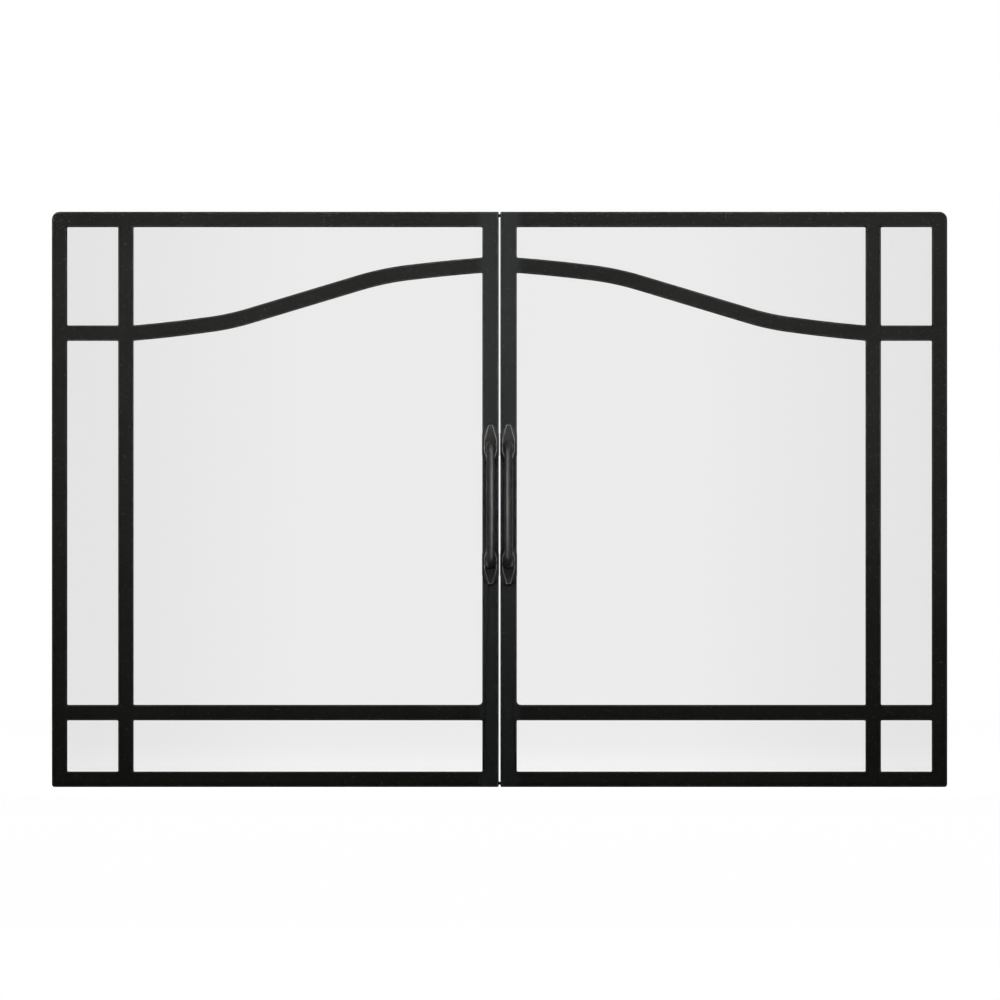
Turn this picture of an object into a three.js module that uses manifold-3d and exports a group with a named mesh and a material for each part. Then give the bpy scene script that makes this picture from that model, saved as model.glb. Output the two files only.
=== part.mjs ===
// A pair of fireplace glass doors: two mirror-image leaves of welded flat bar, each with one pane
// of tempered glass held from behind, a forged bar handle and two lift-off hinges, hung on a slim
// mounting frame of steel strips that stand on edge inside the opening.
//
// Units are millimetres, +Z is up, +X is to the right and -Y faces the room. The origin is the
// middle of the sill strip's underside. Each side is built in leaf coordinates: x runs from the
// leaf's hinge edge towards the middle, y from the leaf's front face backwards, and z up from the
// leaf's bottom edge. The right side is the left side mirrored.

import * as THREE from "three";
import { mergeVertices } from "three/addons/utils/BufferGeometryUtils.js";
import Module from "manifold-3d";

// ---- Driving dimensions -------------------------------------------------------------------

// One leaf
const LEAF_W = 461.5;
const LEAF_H = 594;
const MEETING_GAP = 1.6; // between the two leaves
const BAR_W = 15.875; // 5/8 in flat bar, seen from the front
const BAR_T = 4.76; // 3/16 in thick
const MEETING_STILE_W = 17;
const TOP_CORNER_R = 8; // outer corner of the leaf, at the top
const BOTTOM_CORNER_R = 3;
const MEETING_CORNER_R = 1.5;

// Pane pattern
const SIDE_PANE_W = 52.6; // between hinge stile and side muntin
const BOTTOM_PANE_H = 53; // between bottom rail and lower bars
const TOP_PANE_H = 101.5; // between top rail and upper cross bar

// Arch bar: it leaves the side muntin in line with the upper cross bar. These are the slope of
// its centre line at the ends of each stretch, and how far each round stretch runs across the
// leaf. The straight stretch between the two bends takes the rest.
const ARCH_SPRING_DEG = 5;
const ARCH_LOW_BEND_DEG = 8;
const ARCH_STEEP_DEG = 16.75;
const ARCH_HIGH_BEND_DEG = 7;
const ARCH_CROWN_DEG = 4.5;
const ARCH_SPRING_RUN = 80;
const ARCH_LOW_BEND_RUN = 40;
const ARCH_HIGH_BEND_RUN = 50;
const ARCH_CROWN_RUN = 77;
const ARCH_STEP_DEG = 1.2; // most that the slope turns from one facet to the next
const AFTER_STRAIGHT = 2; // the straight stretch lies before this round one, counted from 0

// Glass and what holds it
const GLASS_T = 4;
const GLASS_INSET = 12.5; // from the leaf's outline to the edge of the glass
const GLASS_CORNER_R = 2;
const GASKET_T = 1.5;
const GASKET_SETBACK = 0.4; // how far the gasket stays behind the edge of the bars
const CLIP_T = 1.2;
const CLIP_W = 16;
const CLIP_LIP = 3; // how far the lip reaches over the glass
const CLIP_FOOT_START = 1.6; // from the leaf's outline
const CLIP_BEND_R = 0.6; // inside of the sheet's bends
const CLIP_FROM_CORNER = 105;

// Lift-off hinges
const KNUCKLE_R = 4.5;
const KNUCKLE_GAP = 0.34; // between the barrel and the back of the stile
const KNUCKLE_LENGTH = 20;
const LEAF_PLATE_T = 2.5;
const LEAF_PLATE_GAP = 0.3; // between the plate's edge and the glass
const FRAME_PLATE_T = 2.5;
const FRAME_PLATE_SHORT = 1; // how far the plate stays inside the strip's rear edge
const PIN_R = 2.45;
const PIN_CLEARANCE = 0.1; // on the radius
const PIN_HEAD_R = 3.8;
const PIN_HEAD_T = 1.5;
const PIN_SHORT_OF_TOP = 2;
const WASHER_R = 4.2;
const WASHER_T = 1;
const HINGE_FROM_END = 84; // from the leaf's top or bottom edge to the middle of the hinge

// Mounting frame
const STRIP_T = 3;
const STRIP_DEPTH = 14;
const STRIP_SETBACK = 8.4; // behind the hinge axis, so that the opening leaf clears it
const LAP_SIDE = 4; // how far the leaf laps over the frame's outer face, at the sides
const LAP_END = 2; // and at the top and bottom
const SCREW_HOLE_R = 2.6;
const JAMB_HOLES = 3;
const RAIL_HOLES = 4;
const JAMB_HOLE_FROM_END = 40;
const RAIL_HOLE_FROM_END = 60;

// Magnetic catch and its strike plate
const CATCH_W = 32;
const CATCH_DEPTH = 22;
const CATCH_FROM_MIDDLE = 36; // middle of the doors to the middle of the catch
const CATCH_GLASS_CLEARANCE = 0.45;
const CATCH_CORNER_R = 1.5;
const CATCH_GAP = 0.3; // between the poles and the strike plate
const POLE_W = 4;
const POLE_STANDS_OUT = 0.8;
const POLE_SPACING = 18;
const STRIKE_W = 34;
const STRIKE_T = 1.2;
const STRIKE_MARGIN = 0.3; // shorter than the catch, at its top and bottom
const STRIKE_CORNER_R = 1;

// Handle
const HANDLE_DROP = 5.2; // below the middle of the leaf
const HANDLE_FEET = 121.5; // between the centres of the two feet
const HANDLE_STANDOFF = 22; // from the stile's face to the middle of the bar
const HANDLE_BEND_R = 14;
const HANDLE_MID_R = 4.5; // radius of the bar at its middle
const HANDLE_BEND_BAR_R = 4.1; // and where it bends
const HANDLE_LEG_R = 4.5; // half way up its leg
const HANDLE_FOOT_R = 5.6; // and where it meets its plate
const PLATE_T = 3.2;
const PLATE_RIM_T = 1.4; // height of the plate's upright edge, under its sloping flanks
const PLATE_FLANK_W = 2.6; // how far a flank runs in from the side
const PLATE_TIP_SLOPE = 1.2; // and from the tip
const PLATE_W = 17.6;
const PLATE_TIP_W = 4.6;
const PLATE_OUT = 22.4; // from the foot's centre to the outer tip
const PLATE_IN = 19; // and to the inner tip
const PLATE_SHOULDER_OUT = 11.5; // from the foot's centre to where the sides start to curve in
const PLATE_SHOULDER_IN = 9;
const HANDLE_SCREW_R = 2;
const HANDLE_SCREW_CLEARANCE = 0.15;
const HANDLE_SCREW_REACH = 12; // into the handle, from the stile's face
const HANDLE_SCREW_END_GAP = 1; // left under the tip of the screw
const SCREW_HEAD_R = 3.5;
const SCREW_HEAD_T = 2.2;
const SCREW_DOME = 0.9; // how much of the head's height is rounded
const SCREW_CROWN_R = 2.4; // flat middle of the head

const SEAT = 0.05; // clearance between two pieces that lie face to face
const ROUND_SIDES = 24; // facets of a turned piece or a full circle
const HOLE_SIDES = 16; // facets of a screw hole
const CORNER_STEPS = 5; // facets of a quarter turn in an outline
const SMALL_CORNER_STEPS = 3;
const HANDLE_BEND_STEPS = 6; // facets of each bend of the handle
const HANDLE_HALF_STEPS = 4; // stations from a bend to the middle of the bar

// ---- What follows from them ---------------------------------------------------------------

const HALF_W = LEAF_W + MEETING_GAP / 2;
const MEETING_STILE_X = LEAF_W - MEETING_STILE_W; // inner edge of the meeting stile
const MUNTIN_X = BAR_W + SIDE_PANE_W; // hinge side of the side muntin
const MUNTIN_END_X = MUNTIN_X + BAR_W;
const LOWER_BAR_Z = BAR_W + BOTTOM_PANE_H;
const TOP_RAIL_Z = LEAF_H - BAR_W;
const UPPER_BAR_Z = TOP_RAIL_Z - TOP_PANE_H - BAR_W;

// Depths behind the leaf's front face
const BEHIND_BARS = BAR_T + SEAT;
const GLASS_Y = BEHIND_BARS + GASKET_T + SEAT;
const LIP_Y = GLASS_Y + GLASS_T + SEAT;
const HINGE_AXIS_Y = BAR_T + KNUCKLE_GAP + KNUCKLE_R;
const HINGE_AXIS_X = LAP_SIDE + STRIP_T + SEAT + FRAME_PLATE_T - KNUCKLE_R;
const STRIP_Y = HINGE_AXIS_Y + STRIP_SETBACK;
const STRIKE_BACK = BEHIND_BARS + STRIKE_T;

// Where leaf coordinates lie in the part's frame
const LEAF_FRONT = -(STRIP_Y + STRIP_DEPTH / 2);
const LEAF_BOTTOM = -LAP_END;
const FRAME_H = LEAF_H - 2 * LAP_END;
const FRAME_HALF_W = HALF_W - LAP_SIDE;

const HANDLE_Z = LEAF_H / 2 - HANDLE_DROP;
const HANDLE_X = LEAF_W - MEETING_STILE_W / 2;
const HANDLE_HOLE_R = HANDLE_SCREW_R + HANDLE_SCREW_CLEARANCE;

// ---- Materials ----------------------------------------------------------------------------

const material = (color, roughness, metalness, more = {}) =>
  new THREE.MeshStandardMaterial({ color, roughness, metalness, ...more });

const blackPaint = material(0x2a2c29, 0.55, 0.3);
const forgedBlack = material(0x33352f, 0.45, 0.4);
const framePaint = material(0x232522, 0.6, 0.3);
const clearGlass = material(0xe9eceb, 0.05, 0, { transparent: true, opacity: 0.3 });
const gasketTape = material(0x3a3a38, 0.95, 0);
const zincPlate = material(0xb4b6b5, 0.35, 0.9);
const brass = material(0xb99a52, 0.35, 0.9);
const blackPlastic = material(0x1c1c1c, 0.5, 0);

// ---- Geometry helpers ---------------------------------------------------------------------

const wasm = await Module();
wasm.setup();

// A closed geometry as a solid that can be joined and cut.
function toSolid(geometry) {
  const bare = geometry.clone();
  bare.deleteAttribute("normal");
  bare.deleteAttribute("uv");
  const merged = mergeVertices(bare, 1e-4);
  return new wasm.Manifold(
    new wasm.Mesh({
      numProp: 3,
      vertProperties: merged.attributes.position.array,
      triVerts: new Uint32Array(merged.index.array),
    }),
  );
}

function toGeometry(solid) {
  const mesh = solid.getMesh();
  const geometry = new THREE.BufferGeometry();
  geometry.setAttribute("position", new THREE.BufferAttribute(mesh.vertProperties, 3));
  geometry.setIndex(new THREE.BufferAttribute(mesh.triVerts, 1));
  geometry.computeVertexNormals();
  return geometry;
}

const QUARTER = Math.PI / 2;
const point = (x, y) => new THREE.Vector2(x, y);

// Points round an arc, from one angle to another, both ends included.
function arc(x, y, r, from, to, steps = CORNER_STEPS) {
  return Array.from({ length: steps + 1 }, (_, k) => {
    const angle = from + ((to - from) * k) / steps;
    return point(x + r * Math.cos(angle), y + r * Math.sin(angle));
  });
}

// A rectangle whose corners may be round. The radii go round from the lower left corner.
function rectangle(x0, y0, x1, y1, radii = [0, 0, 0, 0]) {
  const corner = (x, y, inX, inY, r, turn) =>
    r > 0 ? arc(x + inX * r, y + inY * r, r, turn * QUARTER, (turn + 1) * QUARTER) : [point(x, y)];
  return new THREE.Shape([
    ...corner(x0, y0, 1, 1, radii[0], 2),
    ...corner(x1, y0, -1, 1, radii[1], 3),
    ...corner(x1, y1, -1, -1, radii[2], 0),
    ...corner(x0, y1, 1, -1, radii[3], 1),
  ]);
}

const circle = (x, y, r, sides) => new THREE.Path(arc(x, y, r, 0, 4 * QUARTER, sides).slice(1));

const extrude = (shape, depth) => new THREE.ExtrudeGeometry(shape, { depth, bevelEnabled: false });

// An outline seen from the front (x, z), from depth y backwards.
const frontPlate = (shape, y, thickness) =>
  extrude(shape, thickness).rotateX(QUARTER).translate(0, y + thickness, 0);

// An outline seen from above (x, y), from height z upwards.
const planPlate = (shape, z, height) => extrude(shape, height).translate(0, 0, z);

// An outline seen from the side (y, z), from x onwards.
function sidePlate(shape, x, length) {
  const turn = new THREE.Matrix4().makeBasis(
    new THREE.Vector3(0, 1, 0),
    new THREE.Vector3(0, 0, 1),
    new THREE.Vector3(1, 0, 0),
  );
  return extrude(shape, length).applyMatrix4(turn).translate(x, 0, 0);
}

// A turned piece lying along +y, from a profile of [radius, depth] points.
const turnedAlongY = (profile) =>
  new THREE.LatheGeometry(profile.map(([r, y]) => point(r, y)), ROUND_SIDES);

// The same piece standing along +z.
const turnedAlongZ = (profile) => turnedAlongY(profile).rotateX(QUARTER);

// A closed skin through rings of points, with flat ends. Each ring has the same count of points
// and runs anticlockwise as seen from the last ring's side.
function loft(rings) {
  const sides = rings[0].length;
  const points = rings.flat();
  const positions = points.flatMap((p) => [p.x, p.y, p.z]);
  const index = [];
  for (let ring = 0; ring + 1 < rings.length; ring++) {
    for (let side = 0; side < sides; side++) {
      const next = (side + 1) % sides;
      const a = ring * sides + side;
      const b = ring * sides + next;
      const c = a + sides;
      const d = b + sides;
      index.push(a, b, d, a, d, c);
    }
  }
  const last = (rings.length - 1) * sides;
  for (let side = 1; side + 1 < sides; side++) {
    index.push(0, side + 1, side);
    index.push(last, last + side, last + side + 1);
  }
  const geometry = new THREE.BufferGeometry();
  geometry.setAttribute("position", new THREE.Float32BufferAttribute(positions, 3));
  geometry.setIndex(index);
  geometry.computeVertexNormals();
  return geometry;
}

// ---- The arch bar's curve -----------------------------------------------------------------

// The centre line is four round stretches and one straight one. Each round stretch has a centre
// and a signed radius: positive where the slope grows. A line at `offset` above the centre line
// shares the centres, so the bar keeps its width all along.
function archStretches() {
  const radians = THREE.MathUtils.degToRad;
  const stretch = (from, to, run) => ({ from: radians(from), to: radians(to), run });
  const round = [
    stretch(ARCH_SPRING_DEG, ARCH_LOW_BEND_DEG, ARCH_SPRING_RUN),
    stretch(ARCH_LOW_BEND_DEG, ARCH_STEEP_DEG, ARCH_LOW_BEND_RUN),
    stretch(ARCH_STEEP_DEG, ARCH_HIGH_BEND_DEG, ARCH_HIGH_BEND_RUN),
    stretch(ARCH_HIGH_BEND_DEG, ARCH_CROWN_DEG, ARCH_CROWN_RUN),
  ];
  const whole = MEETING_STILE_X - MUNTIN_END_X;
  const straight = whole - round.reduce((sum, s) => sum + s.run, 0);
  round[AFTER_STRAIGHT].followsStraight = true;
  let x = MUNTIN_END_X;
  let z = UPPER_BAR_Z + BAR_W / 2;
  for (const s of round) {
    if (s.followsStraight) {
      x += straight;
      z += straight * Math.tan(s.from);
    }
    s.radius = s.run / (Math.sin(s.to) - Math.sin(s.from));
    s.centreX = x - s.radius * Math.sin(s.from);
    s.centreZ = z + s.radius * Math.cos(s.from);
    x += s.run;
    z = s.centreZ - s.radius * Math.cos(s.to);
  }
  return round;
}

// Points from x = start to x = end on the line that lies `offset` above the centre line.
function archLine(offset, start, end) {
  const stretches = archStretches();
  const step = THREE.MathUtils.degToRad(ARCH_STEP_DEG);
  const points = [];
  stretches.forEach((s, i) => {
    const radius = s.radius - offset;
    const slopeAt = (x) => Math.asin((x - s.centreX) / radius);
    const from = i === 0 ? slopeAt(start) : s.from;
    const to = i === stretches.length - 1 ? slopeAt(end) : s.to;
    const steps = Math.max(2, Math.ceil(Math.abs(to - from) / step));
    const startsNew = i === 0 || s.followsStraight;
    for (let k = startsNew ? 0 : 1; k <= steps; k++) {
      const slope = from + ((to - from) * k) / steps;
      const x = s.centreX + radius * Math.sin(slope);
      points.push(point(x, s.centreZ - radius * Math.cos(slope)));
    }
  });
  points[0].x = start;
  points.at(-1).x = end;
  return points;
}

// ---- Leaf pieces (leaf coordinates) -------------------------------------------------------

const flatBar = (shape) => frontPlate(shape, 0, BAR_T);

function hingeStile() {
  const radii = [BOTTOM_CORNER_R, 0, 0, TOP_CORNER_R];
  return flatBar(rectangle(0, 0, BAR_W, LEAF_H, radii));
}

// The meeting stile has a hole behind each foot of the handle.
function meetingStile() {
  const radii = [0, MEETING_CORNER_R, MEETING_CORNER_R, 0];
  const shape = rectangle(MEETING_STILE_X, 0, LEAF_W, LEAF_H, radii);
  for (const end of [-1, 1]) {
    const z = HANDLE_Z + (end * HANDLE_FEET) / 2;
    shape.holes.push(circle(HANDLE_X, z, HANDLE_HOLE_R, HOLE_SIDES));
  }
  return flatBar(shape);
}

function archBar() {
  const below = archLine(-BAR_W / 2, MUNTIN_END_X, MEETING_STILE_X);
  const above = archLine(BAR_W / 2, MUNTIN_END_X, MEETING_STILE_X);
  return flatBar(new THREE.Shape([...below, ...above.reverse()]));
}

// The straight bars, each as [name, x0, z0, x1, z1].
const STRAIGHT_BARS = [
  ["top_rail", BAR_W, TOP_RAIL_Z, MEETING_STILE_X, LEAF_H],
  ["bottom_rail", BAR_W, 0, MEETING_STILE_X, BAR_W],
  ["side_muntin", MUNTIN_X, BAR_W, MUNTIN_END_X, TOP_RAIL_Z],
  ["upper_cross_bar", BAR_W, UPPER_BAR_Z, MUNTIN_X, UPPER_BAR_Z + BAR_W],
  ["lower_cross_bar", BAR_W, LOWER_BAR_Z, MUNTIN_X, LOWER_BAR_Z + BAR_W],
  ["lower_bar", MUNTIN_END_X, LOWER_BAR_Z, MEETING_STILE_X, LOWER_BAR_Z + BAR_W],
];

// The six clear openings between the bars, each grown by `grow` on all sides.
function paneOutlines(grow) {
  const pane = (x0, z0, x1, z1) => rectangle(x0 - grow, z0 - grow, x1 + grow, z1 + grow);
  const lowerBarTop = LOWER_BAR_Z + BAR_W;
  const start = MUNTIN_END_X - grow;
  const end = MEETING_STILE_X + grow;
  const underArch = archLine(-BAR_W / 2 + grow, start, end);
  const overArch = archLine(BAR_W / 2 - grow, start, end);
  const corners = (z) => [point(end, z), point(start, z)];
  return [
    pane(BAR_W, BAR_W, MUNTIN_X, LOWER_BAR_Z),
    pane(BAR_W, lowerBarTop, MUNTIN_X, UPPER_BAR_Z),
    pane(BAR_W, UPPER_BAR_Z + BAR_W, MUNTIN_X, TOP_RAIL_Z),
    pane(MUNTIN_END_X, BAR_W, MEETING_STILE_X, LOWER_BAR_Z),
    new THREE.Shape([...underArch, ...corners(lowerBarTop - grow)]),
    new THREE.Shape([...overArch, ...corners(TOP_RAIL_Z + grow)]),
  ];
}

// Flat tape on the back of every bar: one sheet, cut away behind each opening.
function gasket() {
  const far = LEAF_W - GLASS_INSET;
  const sheet = rectangle(GLASS_INSET, GLASS_INSET, far, LEAF_H - GLASS_INSET);
  let solid = toSolid(frontPlate(sheet, BEHIND_BARS, GASKET_T));
  for (const opening of paneOutlines(GASKET_SETBACK)) {
    const cutter = frontPlate(opening, BEHIND_BARS - GASKET_T, 3 * GASKET_T);
    solid = solid.subtract(toSolid(cutter));
  }
  return toGeometry(solid);
}

function glassPane() {
  const r = GLASS_CORNER_R;
  const far = LEAF_W - GLASS_INSET;
  const shape = rectangle(GLASS_INSET, GLASS_INSET, far, LEAF_H - GLASS_INSET, [r, r, r, r]);
  return frontPlate(shape, GLASS_Y, GLASS_T);
}

// A Z-shaped clip of bent sheet for the lower edge: its foot lies on the rail's back, and its
// lip over the glass.
function glassClip(x) {
  const riser = GLASS_INSET - SEAT - CLIP_BEND_R; // inner side of the upright part
  const inner = CLIP_BEND_R;
  const outer = CLIP_BEND_R + CLIP_T;
  const footBack = BEHIND_BARS + CLIP_T;
  const lipBack = LIP_Y + CLIP_T;
  const tip = GLASS_INSET + CLIP_LIP;
  const bend = (y, z, r, from, to) =>
    arc(y, z, r, from * QUARTER, to * QUARTER, SMALL_CORNER_STEPS);
  const shape = new THREE.Shape([
    point(BEHIND_BARS, CLIP_FOOT_START),
    point(footBack, CLIP_FOOT_START),
    ...bend(footBack + inner, riser - CLIP_T - inner, inner, 2, 1),
    ...bend(lipBack - outer, riser - CLIP_T + outer, outer, -1, 0),
    point(lipBack, tip),
    point(LIP_Y, tip),
    ...bend(LIP_Y - inner, riser + inner, inner, 0, -1),
    ...bend(BEHIND_BARS + outer, riser - outer, outer, 1, 2),
  ]);
  return sidePlate(shape, x - CLIP_W / 2, CLIP_W);
}

function strikePlate() {
  const r = STRIKE_CORNER_R;
  const middle = HALF_W - CATCH_FROM_MIDDLE;
  const top = LEAF_H - LAP_END - STRIP_T - SEAT - STRIKE_MARGIN;
  const bottom = LEAF_H - GLASS_INSET + CATCH_GLASS_CLEARANCE + STRIKE_MARGIN;
  const x0 = middle - STRIKE_W / 2;
  const shape = rectangle(x0, bottom, x0 + STRIKE_W, top, [r, r, r, r]);
  return frontPlate(shape, BEHIND_BARS, STRIKE_T);
}

// ---- Handle -------------------------------------------------------------------------------

// The outline of a leaf-shaped plate, seen from the front with its outer tip up and its foot's
// centre at 0: parallel at the shoulders, and drawn in to a blunt tip at both ends.
function plateOutline() {
  const w = PLATE_W / 2;
  const tip = PLATE_TIP_W / 2;
  const side = (shoulder, reach) =>
    new THREE.QuadraticBezierCurve(
      point(w, shoulder),
      point(w, (reach + shoulder) / 2),
      point(tip, reach),
    ).getPoints(CORNER_STEPS);
  const inner = side(-PLATE_SHOULDER_IN, -PLATE_IN);
  const right = [...inner.reverse(), ...side(PLATE_SHOULDER_OUT, PLATE_OUT)];
  const left = right.map((p) => point(-p.x, p.y)).reverse();
  return [...right, ...left];
}

// The plate is forged thin at its rim, with flanks that slope up to a flat middle. `out` is +1
// where the outer tip points up and -1 where it points down.
function handlePlate(footZ, out) {
  const ring = (depth, sideInset, tipInset) => {
    const across = 1 - (2 * sideInset) / PLATE_W;
    const along = 1 - (2 * tipInset) / (PLATE_OUT + PLATE_IN);
    return plateOutline().map((p) => {
      const x = HANDLE_X + out * p.x * across;
      return new THREE.Vector3(x, -depth, footZ + out * p.y * along);
    });
  };
  const flat = ring(PLATE_T, PLATE_FLANK_W, PLATE_TIP_SLOPE);
  return loft([ring(SEAT, 0, 0), ring(PLATE_RIM_T, 0, 0), flat]);
}

// The bar leaves one foot square to the door, bends, runs up and bends back to the other foot.
// Each station is [height, depth, direction of travel as an angle from +z towards the room,
// radius].
function handleStations() {
  const foot = HANDLE_FEET / 2;
  const reach = HANDLE_STANDOFF - HANDLE_BEND_R;
  const straight = foot - HANDLE_BEND_R;
  const half = [
    [-foot, PLATE_T / 2, QUARTER, HANDLE_FOOT_R],
    [-foot, PLATE_T, QUARTER, HANDLE_FOOT_R],
    [-foot, (PLATE_T + reach) / 2, QUARTER, HANDLE_LEG_R],
  ];
  for (let k = 0; k <= HANDLE_BEND_STEPS; k++) {
    const turn = (QUARTER * k) / HANDLE_BEND_STEPS;
    const z = -foot + HANDLE_BEND_R * (1 - Math.cos(turn));
    const y = reach + HANDLE_BEND_R * Math.sin(turn);
    half.push([z, y, QUARTER - turn, HANDLE_BEND_BAR_R]);
  }
  for (let k = 1; k <= HANDLE_HALF_STEPS; k++) {
    const share = k / HANDLE_HALF_STEPS;
    const swell = (HANDLE_MID_R - HANDLE_BEND_BAR_R) * Math.sin(share * QUARTER);
    half.push([-straight * (1 - share), HANDLE_STANDOFF, 0, HANDLE_BEND_BAR_R + swell]);
  }
  const other = half.slice(0, -1).reverse();
  return [...half, ...other.map(([z, y, angle, r]) => [-z, y, -angle, r])];
}

function handle() {
  const rings = handleStations().map(([z, y, angle, r]) => {
    const ring = [];
    for (let side = 0; side < ROUND_SIDES; side++) {
      const a = (2 * Math.PI * side) / ROUND_SIDES;
      const across = r * Math.sin(a);
      const outward = r * Math.cos(a);
      const depth = y + outward * Math.cos(angle);
      const height = z - outward * Math.sin(angle);
      ring.push(new THREE.Vector3(HANDLE_X + across, -depth, HANDLE_Z + height));
    }
    return ring;
  });
  let solid = toSolid(loft(rings));
  for (const end of [-1, 1]) {
    const z = HANDLE_Z + (end * HANDLE_FEET) / 2;
    const depth = HANDLE_SCREW_REACH + HANDLE_SCREW_END_GAP;
    const bore = turnedAlongY([
      [0, -depth],
      [HANDLE_HOLE_R, -depth],
      [HANDLE_HOLE_R, 0],
      [0, 0],
    ]);
    solid = solid.add(toSolid(handlePlate(z, end)));
    solid = solid.subtract(toSolid(bore.translate(HANDLE_X, 0, z)));
  }
  return toGeometry(solid);
}

function handleScrew(end) {
  const r = HANDLE_SCREW_R;
  const head = BEHIND_BARS + SCREW_HEAD_T;
  const profile = [
    [0, -HANDLE_SCREW_REACH],
    [r, -HANDLE_SCREW_REACH],
    [r, BEHIND_BARS],
    [SCREW_HEAD_R, BEHIND_BARS],
    [SCREW_HEAD_R, head - SCREW_DOME],
    [SCREW_CROWN_R, head],
    [0, head],
  ];
  return turnedAlongY(profile).translate(HANDLE_X, 0, HANDLE_Z + (end * HANDLE_FEET) / 2);
}

// ---- Hinges (leaf coordinates) ------------------------------------------------------------

// Heights of one hinge's stack, from the middle of the hinge: frame knuckle, washer, leaf knuckle.
const STACK = KNUCKLE_LENGTH * 2 + WASHER_T + 2 * SEAT;
const KNUCKLE_HOLE_R = PIN_R + PIN_CLEARANCE;
const HINGE_HEIGHTS = [
  ["lower", HINGE_FROM_END],
  ["upper", LEAF_H - HINGE_FROM_END],
];
const washerAt = (middle) => middle - STACK / 2 + KNUCKLE_LENGTH + SEAT;
const leafKnuckleAt = (middle) => washerAt(middle) + WASHER_T + SEAT;

// The leaf's half: a plate flat on the stile's back, rolled into the barrel.
function leafKnuckle(middle) {
  const plateBack = BEHIND_BARS + LEAF_PLATE_T;
  const plateEnd = GLASS_INSET - LEAF_PLATE_GAP;
  const meets = Math.asin((plateBack - HINGE_AXIS_Y) / KNUCKLE_R);
  const shape = new THREE.Shape([
    point(HINGE_AXIS_X, BEHIND_BARS),
    point(plateEnd, BEHIND_BARS),
    point(plateEnd, plateBack),
    ...arc(HINGE_AXIS_X, HINGE_AXIS_Y, KNUCKLE_R, meets, 3 * QUARTER, ROUND_SIDES),
  ]);
  shape.holes.push(circle(HINGE_AXIS_X, HINGE_AXIS_Y, KNUCKLE_HOLE_R, ROUND_SIDES));
  return planPlate(shape, leafKnuckleAt(middle), KNUCKLE_LENGTH);
}

// The frame's half: its plate runs back from the barrel along the jamb strip's inner face.
function frameKnuckle(middle) {
  const back = STRIP_Y + STRIP_DEPTH - FRAME_PLATE_SHORT;
  const meets = Math.acos((KNUCKLE_R - FRAME_PLATE_T) / KNUCKLE_R);
  const shape = new THREE.Shape([
    point(HINGE_AXIS_X + KNUCKLE_R, back),
    point(HINGE_AXIS_X + KNUCKLE_R - FRAME_PLATE_T, back),
    ...arc(HINGE_AXIS_X, HINGE_AXIS_Y, KNUCKLE_R, meets, 4 * QUARTER, ROUND_SIDES),
  ]);
  shape.holes.push(circle(HINGE_AXIS_X, HINGE_AXIS_Y, KNUCKLE_HOLE_R, ROUND_SIDES));
  return planPlate(shape, middle - STACK / 2, KNUCKLE_LENGTH);
}

// A headed pin with a round nose, so that the leaf drops onto it.
function hingePin(middle) {
  const length = STACK - PIN_SHORT_OF_TOP;
  const r = PIN_R;
  const nose = arc(0, length - r, r, 0, QUARTER).map((p) => [p.x, p.y]);
  nose.at(-1)[0] = 0;
  const under = -PIN_HEAD_T - SEAT;
  const profile = [[0, under], [PIN_HEAD_R, under], [PIN_HEAD_R, -SEAT], [r, -SEAT], ...nose];
  return turnedAlongZ(profile).translate(HINGE_AXIS_X, HINGE_AXIS_Y, middle - STACK / 2);
}

function hingeWasher(middle) {
  const profile = [
    [KNUCKLE_HOLE_R, 0],
    [WASHER_R, 0],
    [WASHER_R, WASHER_T],
    [KNUCKLE_HOLE_R, WASHER_T],
    [KNUCKLE_HOLE_R, 0],
  ];
  return turnedAlongZ(profile).translate(HINGE_AXIS_X, HINGE_AXIS_Y, washerAt(middle));
}

// A plastic body under the head strip with two steel poles that stand out at the front.
function magnetCatch() {
  const middle = HALF_W - CATCH_FROM_MIDDLE;
  const poles = STRIKE_BACK + CATCH_GAP;
  const front = poles + POLE_STANDS_OUT;
  const back = poles + CATCH_DEPTH;
  const left = middle - CATCH_W / 2;
  const right = middle + CATCH_W / 2;
  const r = CATCH_CORNER_R;
  const poleOutline = (pole) => [
    point(pole - POLE_W / 2, front),
    point(pole - POLE_W / 2, poles),
    point(pole + POLE_W / 2, poles),
    point(pole + POLE_W / 2, front),
  ];
  const shape = new THREE.Shape([
    point(left, front),
    ...poleOutline(middle - POLE_SPACING / 2),
    ...poleOutline(middle + POLE_SPACING / 2),
    point(right, front),
    ...arc(right - r, back - r, r, 0, QUARTER),
    ...arc(left + r, back - r, r, QUARTER, 2 * QUARTER),
  ]);
  const bottom = LEAF_H - GLASS_INSET + CATCH_GLASS_CLEARANCE;
  const top = LEAF_H - LAP_END - STRIP_T - SEAT;
  return planPlate(shape, bottom, top - bottom);
}

// ---- Mounting frame (the part's own frame) ------------------------------------------------

const spread = (count, first, last) =>
  Array.from({ length: count }, (_, i) => first + ((last - first) * i) / (count - 1));

// Head and sill strips lie flat across the whole width, with screw holes through them.
function railStrip(z) {
  const half = STRIP_DEPTH / 2;
  const shape = rectangle(-FRAME_HALF_W, -half, FRAME_HALF_W, half);
  const end = FRAME_HALF_W - RAIL_HOLE_FROM_END;
  for (const x of spread(RAIL_HOLES, -end, end)) {
    shape.holes.push(circle(x, 0, SCREW_HOLE_R, HOLE_SIDES));
  }
  return planPlate(shape, z, STRIP_T);
}

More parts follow.
